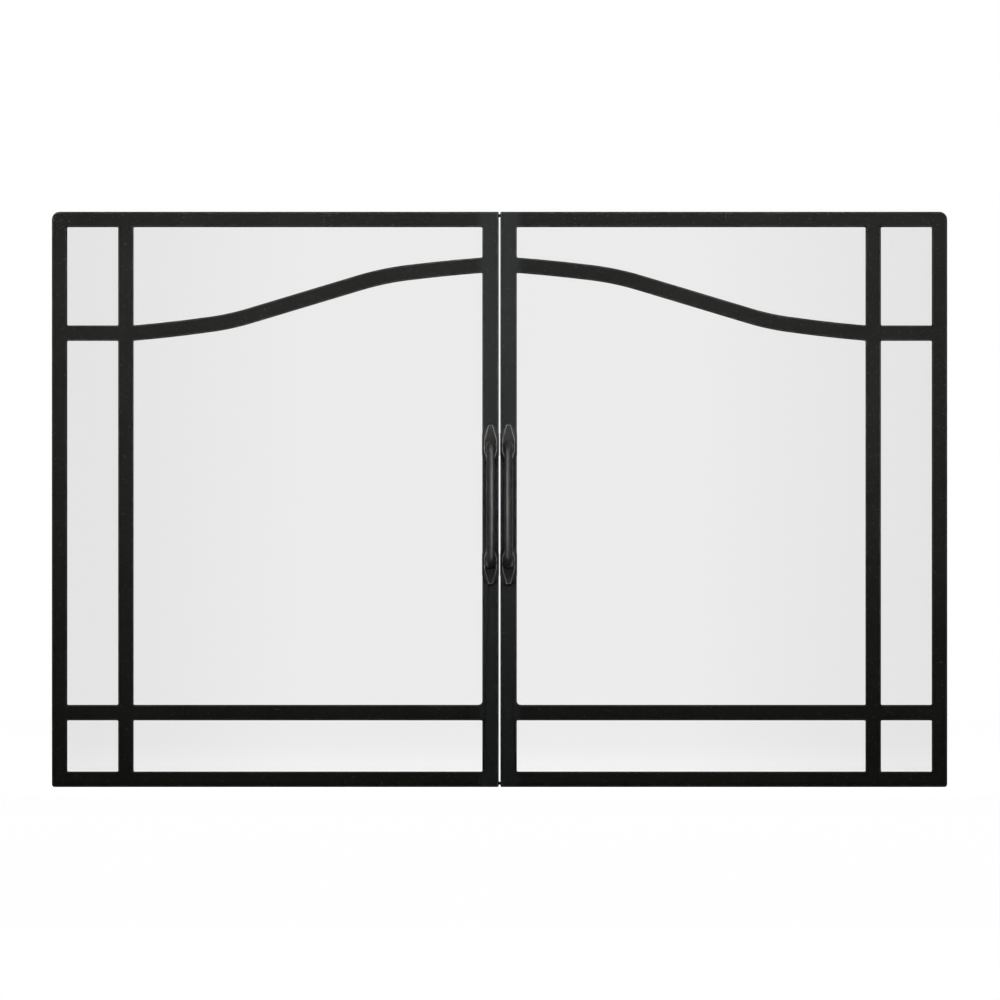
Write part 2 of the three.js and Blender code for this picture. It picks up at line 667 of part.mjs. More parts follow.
// Jamb strips stand between them.
function jambStrip() {
  const half = STRIP_DEPTH / 2;
  const shape = rectangle(-half, STRIP_T, half, FRAME_H - STRIP_T);
  for (const z of spread(JAMB_HOLES, JAMB_HOLE_FROM_END, FRAME_H - JAMB_HOLE_FROM_END)) {
    shape.holes.push(circle(0, z, SCREW_HOLE_R, HOLE_SIDES));
  }
  return sidePlate(shape, -FRAME_HALF_W, STRIP_T);
}

// ---- Assembly -----------------------------------------------------------------------------

const doors = new THREE.Group();

function place(group, name, geometry, finish) {
  const mesh = new THREE.Mesh(geometry, finish);
  mesh.name = name;
  group.add(mesh);
  return mesh;
}

place(doors, "head_strip", railStrip(FRAME_H - STRIP_T), framePaint);
place(doors, "sill_strip", railStrip(0), framePaint);

for (const [side, mirror] of [["left", 1], ["right", -1]]) {
  const jamb = new THREE.Group();
  jamb.scale.x = mirror;
  place(jamb, `${side}_jamb_strip`, jambStrip(), framePaint);
  doors.add(jamb);

  const half = new THREE.Group();
  half.position.set(-mirror * HALF_W, LEAF_FRONT, LEAF_BOTTOM);
  half.scale.x = mirror;
  doors.add(half);
  const put = (name, geometry, finish) => place(half, `${side}_${name}`, geometry, finish);

  put("hinge_stile", hingeStile(), blackPaint);
  put("meeting_stile", meetingStile(), blackPaint);
  for (const [name, x0, z0, x1, z1] of STRAIGHT_BARS) {
    put(name, flatBar(rectangle(x0, z0, x1, z1)), blackPaint);
  }
  put("arch_bar", archBar(), blackPaint);
  put("glass", glassPane(), clearGlass);
  put("glass_gasket", gasket(), gasketTape);
  for (const [end, x] of [["outer", CLIP_FROM_CORNER], ["inner", LEAF_W - CLIP_FROM_CORNER]]) {
    put(`lower_${end}_clip`, glassClip(x), zincPlate);
    const upper = put(`upper_${end}_clip`, glassClip(x), zincPlate);
    upper.position.z = LEAF_H;
    upper.scale.z = -1;
  }
  put("strike_plate", strikePlate(), zincPlate);
  put("handle", handle(), forgedBlack);
  put("lower_handle_screw", handleScrew(-1), zincPlate);
  put("upper_handle_screw", handleScrew(1), zincPlate);
  put("magnet_catch", magnetCatch(), blackPlastic);
  for (const [height, middle] of HINGE_HEIGHTS) {
    put(`${height}_leaf_knuckle`, leafKnuckle(middle), blackPaint);
    put(`${height}_frame_knuckle`, frameKnuckle(middle), framePaint);
    put(`${height}_hinge_pin`, hingePin(middle), zincPlate);
    put(`${height}_hinge_washer`, hingeWasher(middle), brass);
  }
}

export default doors;
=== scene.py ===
# %% [markdown]
# # A pair of fireplace glass doors
# Two leaves of flat steel bar meet in the middle. Behind the bars lies a pane of clear glass, on
# each meeting stile sits a forged handle, and both leaves hang on a slim steel frame. The packed
# model already holds every part at its true size. This lesson loads it as a fixed frame, and
# gives each part its finished edges, its small fasteners and its surface.

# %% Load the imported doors
import math

import bmesh
import bpy
from mathutils import Matrix, Vector, noise


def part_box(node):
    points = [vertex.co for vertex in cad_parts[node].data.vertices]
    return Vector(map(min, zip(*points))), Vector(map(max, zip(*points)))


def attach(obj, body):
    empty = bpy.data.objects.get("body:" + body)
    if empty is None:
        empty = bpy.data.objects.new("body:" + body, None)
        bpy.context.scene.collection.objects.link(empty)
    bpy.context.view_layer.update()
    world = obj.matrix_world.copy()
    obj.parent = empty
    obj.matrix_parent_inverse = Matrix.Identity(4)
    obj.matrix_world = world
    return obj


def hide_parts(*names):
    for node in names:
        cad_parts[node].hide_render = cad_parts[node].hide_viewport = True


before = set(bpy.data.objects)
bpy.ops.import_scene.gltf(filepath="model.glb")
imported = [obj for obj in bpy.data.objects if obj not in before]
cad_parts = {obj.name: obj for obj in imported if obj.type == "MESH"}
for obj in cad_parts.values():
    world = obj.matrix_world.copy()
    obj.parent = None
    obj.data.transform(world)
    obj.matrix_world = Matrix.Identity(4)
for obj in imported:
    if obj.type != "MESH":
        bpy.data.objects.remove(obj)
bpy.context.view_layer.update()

MM = 0.001

# %% [markdown]
# ## The camera
# The photograph looks at the doors squarely and from far away, so that all edges stay upright
# and nothing recedes. A long lens at twelve metres does the same. Its focal length follows from
# the width that one pixel covers at the front of the leaves, so the frame needs no fitting. The
# doors sit a fraction of a pixel off the middle of the picture, and the camera moves by that.

# %% Set the camera
PHOTO_SIZE = 1000  # pixels across the photograph
DOORS_X, DOORS_Y = 499.55, 499.4  # pixel at the middle of the doors, from the top left
PIXEL = 1.0325 * MM  # covered by one pixel at the front of the leaves
CAMERA_DISTANCE = 12.0
CAMERA_SIGHT = 60.0  # metres, well past the floor
SENSOR = 36.0  # width of the film in millimetres

front_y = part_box("left_hinge_stile")[0].y
leaf_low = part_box("left_hinge_stile")[0].z
leaf_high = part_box("left_hinge_stile")[1].z
leaf_middle = (leaf_low + leaf_high) / 2

lens = bpy.data.cameras.new("camera")
lens.sensor_width = SENSOR
lens.lens = SENSOR * CAMERA_DISTANCE / (PHOTO_SIZE * PIXEL)
lens.clip_end = CAMERA_SIGHT
camera = bpy.data.objects.new("camera", lens)
bpy.context.scene.collection.objects.link(camera)
camera.location = (
    (PHOTO_SIZE / 2 - DOORS_X) * PIXEL,
    front_y - CAMERA_DISTANCE,
    leaf_middle - (PHOTO_SIZE / 2 - DOORS_Y) * PIXEL,
)
camera.rotation_euler = (math.radians(90), 0, 0)
bpy.context.scene.camera = camera
bpy.context.scene.view_settings.view_transform = "Standard"
print("lens:", round(lens.lens, 1), "mm")

# %% [markdown]
# ## The studio
# Dark satin metal shows what stands around it more than the light that falls on it, so the
# studio is built first. The white behind the doors is no extra light: the world answers the
# camera, glass and shiny surfaces with plain white, and lights matt ones much more softly. It
# does so by asking what kind of ray has arrived. World and materials are node trees, and two
# helpers that add a node and fill its inputs keep them short.


# %% A white room
def fill(tree, node, inputs):
    """Fills a node's inputs with numbers, colours or the sockets of other nodes."""
    for name, value in inputs.items():
        if isinstance(value, bpy.types.NodeSocket):
            tree.links.new(value, node.inputs[name])
        else:
            node.inputs[name].default_value = value


def add(tree, kind, inputs=None, **settings):
    """Adds a shader node."""
    node = tree.nodes.new("ShaderNode" + kind)
    for name, value in settings.items():
        setattr(node, name, value)
    fill(tree, node, inputs or {})
    return node


def either_ray(tree, *kinds):
    """1 for a ray of any of these kinds, such as "Is Camera Ray", else 0."""
    rays = add(tree, "LightPath")
    found = rays.outputs[kinds[0]]
    for kind in kinds[1:]:
        most = add(tree, "Math", {0: found, 1: rays.outputs[kind]}, operation="MAXIMUM")
        found = most.outputs[0]
    return found


WHITE = (1, 1, 1, 1)
ROOM_LIGHT = 0.045  # how strongly the room lights matt surfaces

world = bpy.data.worlds.new("white_room")
bpy.context.scene.world = world
world.use_nodes = True
room = world.node_tree
seen = either_ray(room, "Is Camera Ray", "Is Transmission Ray", "Is Glossy Ray")
strength = add(room, "MapRange", {"Value": seen, "To Min": ROOM_LIGHT, "To Max": 1.0})
backdrop = {"Color": WHITE, "Strength": strength.outputs["Result"]}
fill(room, room.nodes["Background"], backdrop)
print("the room lights matt surfaces at", ROOM_LIGHT)

# %% [markdown]
# ### Lamps
# A soft lamp close above makes the tops of the leaves much brighter than their feet, as in the
# photograph. A grid on it narrows its light. Two tall narrow lamps stand to the sides. They only
# draw the bright lines along the handles, so matt surfaces don't see them.

# %% Set up the lamps
KEY_SIZE = (1.2, 0.4)
KEY_PLACE = (0, -1.1, 1.2)
KEY_TARGET = (0, 0, 0.46)
KEY_WATTS = 2.55
KEY_SPREAD = 36  # degrees that the grid lets through
STRIP_LAMP_SIZE = (0.34, 0.9)
STRIP_LAMP_TURN = math.radians(34)  # to each side of the camera
STRIP_LAMP_AWAY = 1.6
STRIP_LAMP_HEIGHT = 0.62
STRIP_LAMP_TARGET = (0, 0, 0.33)
STRIP_LAMP_WATTS = 13


def softbox(name, size, place, target, watts, spread=180):
    """A lamp whose grid lets light out over `spread` degrees."""
    light = bpy.data.lights.new(name, "AREA")
    light.shape = "RECTANGLE"
    light.size, light.size_y = size
    light.energy = watts
    light.spread = math.radians(spread)
    lamp = bpy.data.objects.new(name, light)
    bpy.context.scene.collection.objects.link(lamp)
    lamp.location = place
    aim = Vector(target) - Vector(place)
    lamp.rotation_euler = aim.to_track_quat("-Z", "Y").to_euler()
    print(name, "at", place, watts, "W")
    return lamp


softbox("key_softbox", KEY_SIZE, KEY_PLACE, KEY_TARGET, KEY_WATTS, KEY_SPREAD)
for side in (-1, 1):
    x = side * STRIP_LAMP_AWAY * math.sin(STRIP_LAMP_TURN)
    y = -STRIP_LAMP_AWAY * math.cos(STRIP_LAMP_TURN)
    place = (x, y, STRIP_LAMP_HEIGHT)
    strip = softbox("strip_softbox", STRIP_LAMP_SIZE, place, STRIP_LAMP_TARGET, STRIP_LAMP_WATTS)
    strip.visible_diffuse = False

# %% [markdown]
# ### Black cloth
# In a plain white room the bars would look grey. So black cloth hangs in a half ring in front of
# the doors and at their sides. It blackens what the paint reflects, and takes no light away. One
# upright edge is spun round the doors to make it, and only shiny surfaces see it.

# %% Hang the black cloth
CLOTH_R = 3.4
CLOTH_H = 4.5
CLOTH_TURN = math.radians(140)  # how far it reaches round, to each side of the camera
CLOTH_STEPS = 48
CLOTH_BLACK = (0.004, 0.004, 0.004, 1)


def stage_object(name, shape, finish):
    """Something of the studio, which is no part of the doors."""
    mesh = bpy.data.meshes.new(name)
    shape.to_mesh(mesh)
    shape.free()
    mesh.materials.append(finish)
    thing = bpy.data.objects.new(name, mesh)
    bpy.context.scene.collection.objects.link(thing)
    return thing


def matt_finish(name, colour):
    """A finish that reflects nothing sharply."""
    material = bpy.data.materials.new(name)
    material.use_nodes = True
    tree = material.node_tree
    shader = tree.nodes["Principled BSDF"]
    fill(tree, shader, {"Base Color": colour, "Roughness": 1.0, "Specular IOR Level": 0.0})
    return material, tree, shader


cloth_shape = bmesh.new()
foot = cloth_shape.verts.new((0, -CLOTH_R, leaf_low))
head = cloth_shape.verts.new((0, -CLOTH_R, CLOTH_H))
first_fold = Matrix.Rotation(-CLOTH_TURN, 3, "Z")
bmesh.ops.rotate(cloth_shape, verts=[foot, head], matrix=first_fold, cent=(0, 0, 0))
hem = cloth_shape.edges.new((foot, head))
bmesh.ops.spin(
    cloth_shape, geom=[foot, head, hem], axis=(0, 0, 1), cent=(0, 0, 0),
    angle=2 * CLOTH_TURN, steps=CLOTH_STEPS, use_duplicate=False,
)
cloth_finish, _, _ = matt_finish("black_cloth", CLOTH_BLACK)
cloth = stage_object("black_cloth", cloth_shape, cloth_finish)
cloth.visible_camera = False
cloth.visible_diffuse = False
cloth.visible_transmission = False
cloth.visible_shadow = False
print("cloth panels:", len(cloth.data.polygons))

# %% [markdown]
# ### Floor
# The doors stand on a wide matt disc. A white floor would throw light up at the bars, so its
# own colour is grey, and a glow that only the camera and the glass see lifts it to white. The
# glow grows outwards, because the key lamp lights the floor near the doors.

# %% Lay the floor
FLOOR_R = 4.0
FLOOR_SIDES = 96
FLOOR_GAP = 0.5 * MM  # under the leaves
FLOOR_GREY = (0.25, 0.25, 0.25, 1)
LIFT_NEAR, LIFT_FAR = 0.966, 0.982  # glow of the floor as the camera sees it
LIFT_START, LIFT_END = 0.6, 1.3  # metres from the doors over which it grows

floor_finish, tree, matt = matt_finish("pale_floor", FLOOR_GREY)
flat = add(tree, "TexCoord").outputs["Object"]
away = add(tree, "VectorMath", {0: flat}, operation="LENGTH").outputs["Value"]
span = {"Value": away, "From Min": LIFT_START, "From Max": LIFT_END}
lift = add(tree, "MapRange", {**span, "To Min": LIFT_NEAR, "To Max": LIFT_FAR})
seen = either_ray(tree, "Is Camera Ray", "Is Transmission Ray")
glow = add(tree, "Math", {0: lift.outputs["Result"], 1: seen}, operation="MULTIPLY")
fill(tree, matt, {"Emission Color": WHITE, "Emission Strength": glow.outputs[0]})

floor_shape = bmesh.new()
bmesh.ops.create_circle(floor_shape, cap_ends=True, segments=FLOOR_SIDES, radius=FLOOR_R)
bmesh.ops.translate(floor_shape, verts=floor_shape.verts, vec=(0, 0, leaf_low - FLOOR_GAP))
stage_object("floor", floor_shape, floor_finish)
print("floor at z =", round(leaf_low - FLOOR_GAP, 4), "m")

# %% [markdown]
# ## Surfaces
# Every finish is a small recipe of noise on object coordinates. Since all parts lie in one
# frame, a pattern runs on from one part to the next without a seam. Distances in a bump are
# real: a grain of dry paint stands a few hundredths of a millimetre proud.

# %% Helpers for finishes
MIX_BELOW, MIX_ABOVE, MIX_RESULT = 6, 7, 2  # the colour sockets of a Mix node


def new_finish(name):
    material = bpy.data.materials.new(name)
    material.use_nodes = True
    tree = material.node_tree
    place = add(tree, "TexCoord").outputs["Object"]
    return material, tree, tree.nodes["Principled BSDF"], place


def cloud(tree, place, scale, detail=2.0, roughness=0.5):
    """Soft noise with `scale` lumps to the metre."""
    inputs = {"Vector": place, "Scale": scale, "Detail": detail, "Roughness": roughness}
    return add(tree, "TexNoise", inputs).outputs["Fac"]


def blend(tree, share, low, high):
    """A number from low to high as share goes from 0 to 1."""
    inputs = {"Value": share, "To Min": low, "To Max": high}
    return add(tree, "MapRange", inputs).outputs["Result"]


def window(tree, share, start, end):
    """0 up to start, 1 from end on, and a ramp between them."""
    inputs = {"Value": share, "From Min": start, "From Max": end}
    return add(tree, "MapRange", inputs).outputs["Result"]


def recolour(tree, share, below, above):
    """The colour below, turned to the one above where share is 1."""
    if not isinstance(below, bpy.types.NodeSocket):
        below = (*below, 1)
    inputs = {"Factor": share, MIX_BELOW: below, MIX_ABOVE: (*above, 1)}
    return add(tree, "Mix", inputs, data_type="RGBA").outputs[MIX_RESULT]


def relief(tree, height, depth, below=None):
    """A bump whose full height is depth metres, on top of another bump."""
    inputs = {"Height": height, "Distance": depth, "Strength": 1.0}
    if below is not None:
        inputs["Normal"] = below
    return add(tree, "Bump", inputs).outputs["Normal"]


def marked(tree, name):
    """A mark on the faces or vertices of a mesh, from 0 to 1."""
    return add(tree, "Attribute", attribute_name=name).outputs["Fac"]


def from_middle(tree, place):
    """Metres from the line where the doors meet."""
    x = add(tree, "SeparateXYZ", {"Vector": place}).outputs["X"]
    return add(tree, "Math", {0: x}, operation="ABSOLUTE").outputs[0]


print("colour sockets of a Mix node:", MIX_BELOW, MIX_ABOVE, MIX_RESULT)

# %% [markdown]
# ### Satin heat-proof paint
# The bars are sprayed with a charcoal stove paint. From near it is not one colour. It has faint
# clouds from the spray, and a fine dry grain that breaks up its shine and holds sparse dust.
# The meeting stiles are painted a little paler, as painted light. A thin pale line is painted where
# an edge starts to turn, as a painted highlight, and its steep outer part is painted near black
# without shine, as painted shade. The faces of an eased edge are marked for that when the edge is made.

# %% Paint
DUST = (0.055, 0.056, 0.052)
DUST_START, DUST_END = 0.68, 0.76  # only the peaks of its noise are dust
# painted shade on the steep outer part of each eased edge
PAINTED_EDGE_SHADE = (0.003, 0.003, 0.003)
PAINT_SHINE = 0.035
MIDDLE_LIGHT_X, MIDDLE_LIGHT_END_X = 0.017, 0.024  # metres from the middle over which the painted light fades out
ORANGE_PEEL = 0.03 * MM
DRY_GRAIN = 0.012 * MM


def satin_paint(name, dark, light, middle_light, edge, roughness):
    material, tree, shader, place = new_finish(name)
    spray = cloud(tree, place, scale=14, detail=3.0)
    grain = cloud(tree, place, scale=1500)
    orange_peel = cloud(tree, place, scale=420, detail=1.0)
    specks = cloud(tree, place, scale=620, detail=1.0)
    colour = recolour(tree, window(tree, spray, 0.3, 0.7), dark, light)
    # painted light: the meeting stiles are painted paler
    middle_light_share = window(tree, from_middle(tree, place), MIDDLE_LIGHT_END_X, MIDDLE_LIGHT_X)
    colour = recolour(tree, middle_light_share, colour, middle_light)
    colour = recolour(tree, window(tree, specks, DUST_START, DUST_END), colour, DUST)
    # painted highlight: a pale line on the flattest strip of each eased edge, in patches
    highlight_patches = {0: marked(tree, "eased"), 1: blend(tree, spray, 0.5, 1.0)}
    edge_highlight = add(tree, "Math", highlight_patches, operation="MULTIPLY").outputs[0]
    colour = recolour(tree, edge_highlight, colour, edge)
    # painted shade: the steep strips of each eased edge are near black and without shine
    edge_shade = marked(tree, "edge_shade")
    fill(tree, shader, {
        "Base Color": recolour(tree, edge_shade, colour, PAINTED_EDGE_SHADE),
        "Roughness": blend(tree, grain, roughness - 0.08, roughness + 0.1),
        "Specular IOR Level": blend(tree, edge_shade, PAINT_SHINE, 0.0),
        "Normal": relief(tree, grain, DRY_GRAIN, relief(tree, orange_peel, ORANGE_PEEL)),
    })
    return material


black_paint = satin_paint(
    "satin_charcoal_paint",
    dark=(0.0125, 0.0133, 0.0113),
    light=(0.0165, 0.0175, 0.0150),
    # paler on the meeting stiles, as painted light
    middle_light=(0.0235, 0.0265, 0.0250),
    # colour of the painted highlight on eased edges
    edge=(0.088, 0.092, 0.084),
    roughness=0.5,
)
frame_paint = satin_paint(
    "satin_frame_paint",
    dark=(0.012, 0.0125, 0.0115),
    light=(0.016, 0.0165, 0.015),
    # paler near the middle, as painted light
    middle_light=(0.017, 0.0175, 0.016),
    # colour of the painted highlight on eased edges
    edge=(0.06, 0.062, 0.056),
    roughness=0.55,
)
print("paints:", black_paint.name, frame_paint.name)

# %% [markdown]
# ### Forged handle black
# The handles are hammered round bar with much the same paint. The flank that fingers hold is
# polished and carries a painted highlight, and the ridges of the plates carry a painted highlight
# too. The dents are modelled, so the finish only adds scale: small pits, and a sheen that is
# tighter on the high spots.

# %% Forged black
FORGED_DARK = (0.010, 0.0105, 0.0095)
FORGED_LIGHT = (0.019, 0.020, 0.018)
# painted highlight on the polished flank of each grip
PAINTED_GRIP_HIGHLIGHT = (0.080, 0.084, 0.080)
# painted highlight along the ridges of the plates
PAINTED_RIDGE_HIGHLIGHT = (0.15, 0.157, 0.148)
DULL_MIN, DULL_MAX = 0.46, 0.62
POLISH = -0.14  # what rubbing takes off the roughness
SHINE, RUBBED_SHINE = 0.22, 0.75
PIT_DEPTH = 0.05 * MM


def forged_finish():
    material, tree, shader, place = new_finish("forged_black")
    patches = cloud(tree, place, scale=130, detail=3.0)
    pits = window(tree, cloud(tree, place, scale=900), 0.62, 0.8)
    polish_and_highlight = marked(tree, "polish_and_highlight")
    colour = recolour(tree, window(tree, patches, 0.35, 0.7), FORGED_DARK, FORGED_LIGHT)
    # painted highlight on the polished flank
    colour = recolour(tree, polish_and_highlight, colour, PAINTED_GRIP_HIGHLIGHT)
    dull = blend(tree, patches, DULL_MIN, DULL_MAX)
    polish = add(tree, "Math", {0: polish_and_highlight, 1: POLISH}, operation="MULTIPLY").outputs[0]
    fill(tree, shader, {
        # painted highlight along the ridges of the plates
        "Base Color": recolour(tree, marked(tree, "edge_highlight"), colour, PAINTED_RIDGE_HIGHLIGHT),
        "Roughness": add(tree, "Math", {0: dull, 1: polish}, operation="ADD").outputs[0],
        "Specular IOR Level": blend(tree, polish_and_highlight, SHINE, RUBBED_SHINE),
        "Normal": relief(tree, pits, -PIT_DEPTH, relief(tree, patches, PIT_DEPTH)),
    })
    return material


forged_black = forged_finish()
print("handles:", forged_black.name)

# %% [markdown]
# ### Clear glass
# Four millimetres of tempered glass, a little grey as seen against white. Towards the hinges it is
# painted a little greyer, as painted shade. Lamps would throw hard black shadows through a refracting
# pane, so rays from lamps pass straight through with much the same tint. Faint diagonal streaks, a
# little clearer or greyer, keep the pane from being invisible.

# %% Glass
CLEAREST = 0.870  # share of light let through near the middle of the doors
# the panes are painted greyer towards the hinges, as painted shade
GREYEST = 0.811  # and beside the hinges
GREY_START, GREY_END = 0.20, 0.42  # metres from the middle over which it changes
STREAK_TURN = math.radians(62)
STREAK_STRETCH = (1.0, 1.0, 0.22)
STREAK_DEPTH = 0.012  # how much clearer or greyer a streak is
LAMP_TINT = (0.84, 0.85, 0.845, 1)


def glass_finish():
    material, tree, shader, place = new_finish("clear_glass")
    # painted shade: greyer towards the hinges
    hinge_shade = window(tree, from_middle(tree, place), GREY_START, GREY_END)
    # faint diagonal streaks, a little clearer or greyer
    streaking = {"Vector": place, "Rotation": (0, STREAK_TURN, 0), "Scale": STREAK_STRETCH}
    streak_mapping = add(tree, "Mapping", streaking)
    streaks = cloud(tree, streak_mapping.outputs["Vector"], scale=3.2, detail=1.0)
    veil = blend(tree, streaks, -STREAK_DEPTH, STREAK_DEPTH)
    clear = blend(tree, hinge_shade, CLEAREST, GREYEST)
    passed = add(tree, "Math", {0: clear, 1: veil}, operation="ADD").outputs[0]
    colour = add(tree, "CombineColor", {"Red": passed, "Green": passed, "Blue": passed})
    fill(tree, shader, {
        "Base Color": colour.outputs["Color"],
        "Roughness": 0.0,
        "IOR": 1.5,
        "Transmission Weight": 1.0,
    })
    unbent = add(tree, "BsdfTransparent", {"Color": LAMP_TINT}).outputs[0]
    from_lamp = either_ray(tree, "Is Shadow Ray")
    either = add(tree, "MixShader", {"Fac": from_lamp, 1: shader.outputs[0], 2: unbent})
    fill(tree, tree.nodes["Material Output"], {"Surface": either.outputs[0]})
    return material


clear_glass = glass_finish()
print("glass lets through", GREYEST, "to", CLEAREST)

# %% [markdown]
# ### Gasket tape
# Behind the bars lies a flat tape woven from glass fibre. Two sets of waves at right angles make
# the threads, one going over the other by turns, and a fine noise leaves pale fluff on them.

# %% Gasket tape
THREAD = 0.9 * MM
WAVE_TURN = 20  # radians that a wave turns through in a metre at scale 1
THREAD_HEIGHT = 0.2 * MM
TAPE_DARK = (0.018, 0.018, 0.017)
TAPE_LIGHT = (0.075, 0.075, 0.070)
FLUFF = (0.11, 0.11, 0.105)


def tape_finish():
    material, tree, shader, place = new_finish("woven_glass_tape")
    inputs = {"Vector": place, "Scale": math.pi / THREAD / WAVE_TURN, "Distortion": 0.6}
    bands = {"wave_type": "BANDS", "wave_profile": "SIN"}
    warp = add(tree, "TexWave", inputs, bands_direction="X", **bands).outputs["Fac"]
    weft = add(tree, "TexWave", inputs, bands_direction="Z", **bands).outputs["Fac"]
    threads = add(tree, "Math", {0: warp, 1: weft}, operation="MULTIPLY").outputs[0]
    fluff = window(tree, cloud(tree, place, scale=1800, detail=3.0), 0.6, 0.75)
    colour = recolour(tree, threads, TAPE_DARK, TAPE_LIGHT)
    fill(tree, shader, {
        "Base Color": recolour(tree, fluff, colour, FLUFF),
        "Roughness": 0.95,
        "Sheen Weight": 0.3,
        "Normal": relief(tree, threads, THREAD_HEIGHT),
    })
    return material


gasket_tape = tape_finish()
print("threads of", THREAD / MM, "mm")

# %% [markdown]
# ### Bare metals
# Zinc plate on the clips and screws, steel poles in the catches and brass washers in the
# hinges. All three are fully metallic. What tells them apart is tint, and how the tool left
# them, so the noise is squeezed along one axis until it becomes fine tool marks.

# %% Metals
MARK_DEPTH = 0.01 * MM


def metal_finish(name, dark, light, marks, roughness):
    """`marks` is the count of tool marks to the metre along each axis."""
    material, tree, shader, place = new_finish(name)
    stretched = add(tree, "Mapping", {"Vector": place, "Scale": marks}).outputs["Vector"]
    lines = cloud(tree, stretched, scale=1.0, detail=3.0, roughness=0.65)
    bloom = window(tree, cloud(tree, place, scale=160), 0.3, 0.75)
    fill(tree, shader, {
        "Base Color": recolour(tree, bloom, dark, light),
        "Metallic": 1.0,
        "Roughness": blend(tree, lines, roughness - 0.1, roughness + 0.14),
        "Normal": relief(tree, lines, MARK_DEPTH),
    })
    return material


zinc_plate = metal_finish(
    "zinc_plate", dark=(0.42, 0.43, 0.42), light=(0.56, 0.57, 0.57), marks=(120, 120, 4500), roughness=0.36
)
pole_steel = metal_finish(
    "ground_steel", dark=(0.48, 0.48, 0.47), light=(0.60, 0.60, 0.59), marks=(90, 90, 6000), roughness=0.26
)
brass = metal_finish(
    "turned_brass", dark=(0.52, 0.36, 0.12), light=(0.66, 0.48, 0.18), marks=(200, 200, 9000), roughness=0.3
)
print("metals:", zinc_plate.name, pole_steel.name, brass.name)

# %% [markdown]
# ### Moulded plastic
# The catch bodies are moulded in heat-proof black plastic. A spark-eroded mould leaves an even,
# very fine grain. All finishes are then listed under the slots that parts ask for.

# %% Plastic
PLASTIC_DARK = (0.009, 0.009, 0.009)
PLASTIC_LIGHT = (0.014, 0.014, 0.0145)
MOULD_GRAIN = 0.02 * MM


def plastic_finish():
    material, tree, shader, place = new_finish("moulded_black_plastic")
    grain = cloud(tree, place, scale=2600, detail=1.0)
    flow = cloud(tree, place, scale=60)
    fill(tree, shader, {
        "Base Color": recolour(tree, flow, PLASTIC_DARK, PLASTIC_LIGHT),
        "Roughness": blend(tree, grain, 0.42, 0.62),
        "Normal": relief(tree, grain, MOULD_GRAIN),
    })
    return material


FINISHES = {
    "black_paint": black_paint,
    "forged_black": forged_black,
    "frame_paint": frame_paint,
    "clear_glass": clear_glass,
    "gasket_tape": gasket_tape,
    "zinc_plate": zinc_plate,
    "brass": brass,
    "black_plastic": plastic_finish(),
}
print("finishes:", len(FINISHES))

# %% [markdown]
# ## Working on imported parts
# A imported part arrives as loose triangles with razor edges. Its mesh must stay as it is, so each
# part gets a finished copy that stands for it: triangles are joined, flat faces are dissolved
# into one, and the edges are eased with a bevel, which is what catches the light on real metal.

# %% Copy and ease
MERGE = 0.001 * MM
SAME_PLANE = math.radians(0.3)


def merged(shape, distance):
    """Joins doubled vertices, and dissolves edges that lie within a flat face."""
    bmesh.ops.remove_doubles(shape, verts=shape.verts, dist=distance)
    bmesh.ops.dissolve_limit(
        shape, angle_limit=SAME_PLANE, verts=shape.verts, edges=shape.edges
    )
    return shape


def solid_of(node):
    """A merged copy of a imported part, with its flat faces whole."""
    shape = bmesh.new()
    shape.from_mesh(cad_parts[node].data)
    return merged(shape, MERGE)


def sharp_edges(shape, angle=40):
    limit = math.radians(angle)
    return [e for e in shape.edges if e.is_manifold and e.calc_face_angle() > limit]


def bevel(shape, edges, offset, segments, clamp=True):
    """Eases edges, and returns the new faces."""
    made = bmesh.ops.bevel(
        shape,
        geom=edges,
        affect="EDGES",
        offset_type="OFFSET",
        offset=offset,
        segments=segments,
        profile=0.5,
        loop_slide=False,
        clamp_overlap=clamp,
        material=-1,
    )
    return made["faces"]


pane = solid_of("left_glass")
print("a pane has", len(pane.faces), "faces and", len(sharp_edges(pane)), "sharp edges")
pane.free()

# %% [markdown]
# ### From shape to piece
# A finished shape becomes an object that rides on a body, fills a slot for its material and may
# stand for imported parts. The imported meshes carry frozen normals, which would shade a new bevel
# as if it weren't there, so they are taken out. Weighted normals then keep the large flat faces
# flat, and let only the narrow eased ones turn.

# %% Place a piece
SMOOTH_BELOW = math.radians(38)  # edges that turn less are shaded as one surface


def add_piece(shape, name, body, slot, replaces=(), finish=None):
    """Makes the object, and says what it rides on, what it is made of and what it stands for."""
    mesh = bpy.data.meshes.new(name)
    shape.to_mesh(mesh)
    shape.free()
    packed_normals = mesh.attributes.get("custom_normal")
    if packed_normals:
        mesh.attributes.remove(packed_normals)
    mesh.polygons.foreach_set("use_smooth", [True] * len(mesh.polygons))
    mesh.set_sharp_from_angle(angle=SMOOTH_BELOW)
    mesh.materials.append(finish or FINISHES[slot])
    piece = bpy.data.objects.new(name, mesh)
    bpy.context.scene.collection.objects.link(piece)
    piece.modifiers.new("flat faces stay flat", "WEIGHTED_NORMAL").keep_sharp = True
    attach(piece, body)
    if replaces:
        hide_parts(*replaces)
    return piece


print("slots:", sorted(FINISHES))

# %% [markdown]
# ### Joining and cutting
# Welded bars become one skin, and a screw's recess is cut from its head. Blender's exact
# boolean does both. It works on objects, so the two shapes are lent to it for a moment.


# %% Join and cut shapes
def lent_object(shape):
    mesh = bpy.data.meshes.new("lent")
    shape.to_mesh(mesh)
    shape.free()
    thing = bpy.data.objects.new("lent", mesh)
    bpy.context.scene.collection.objects.link(thing)
    return thing


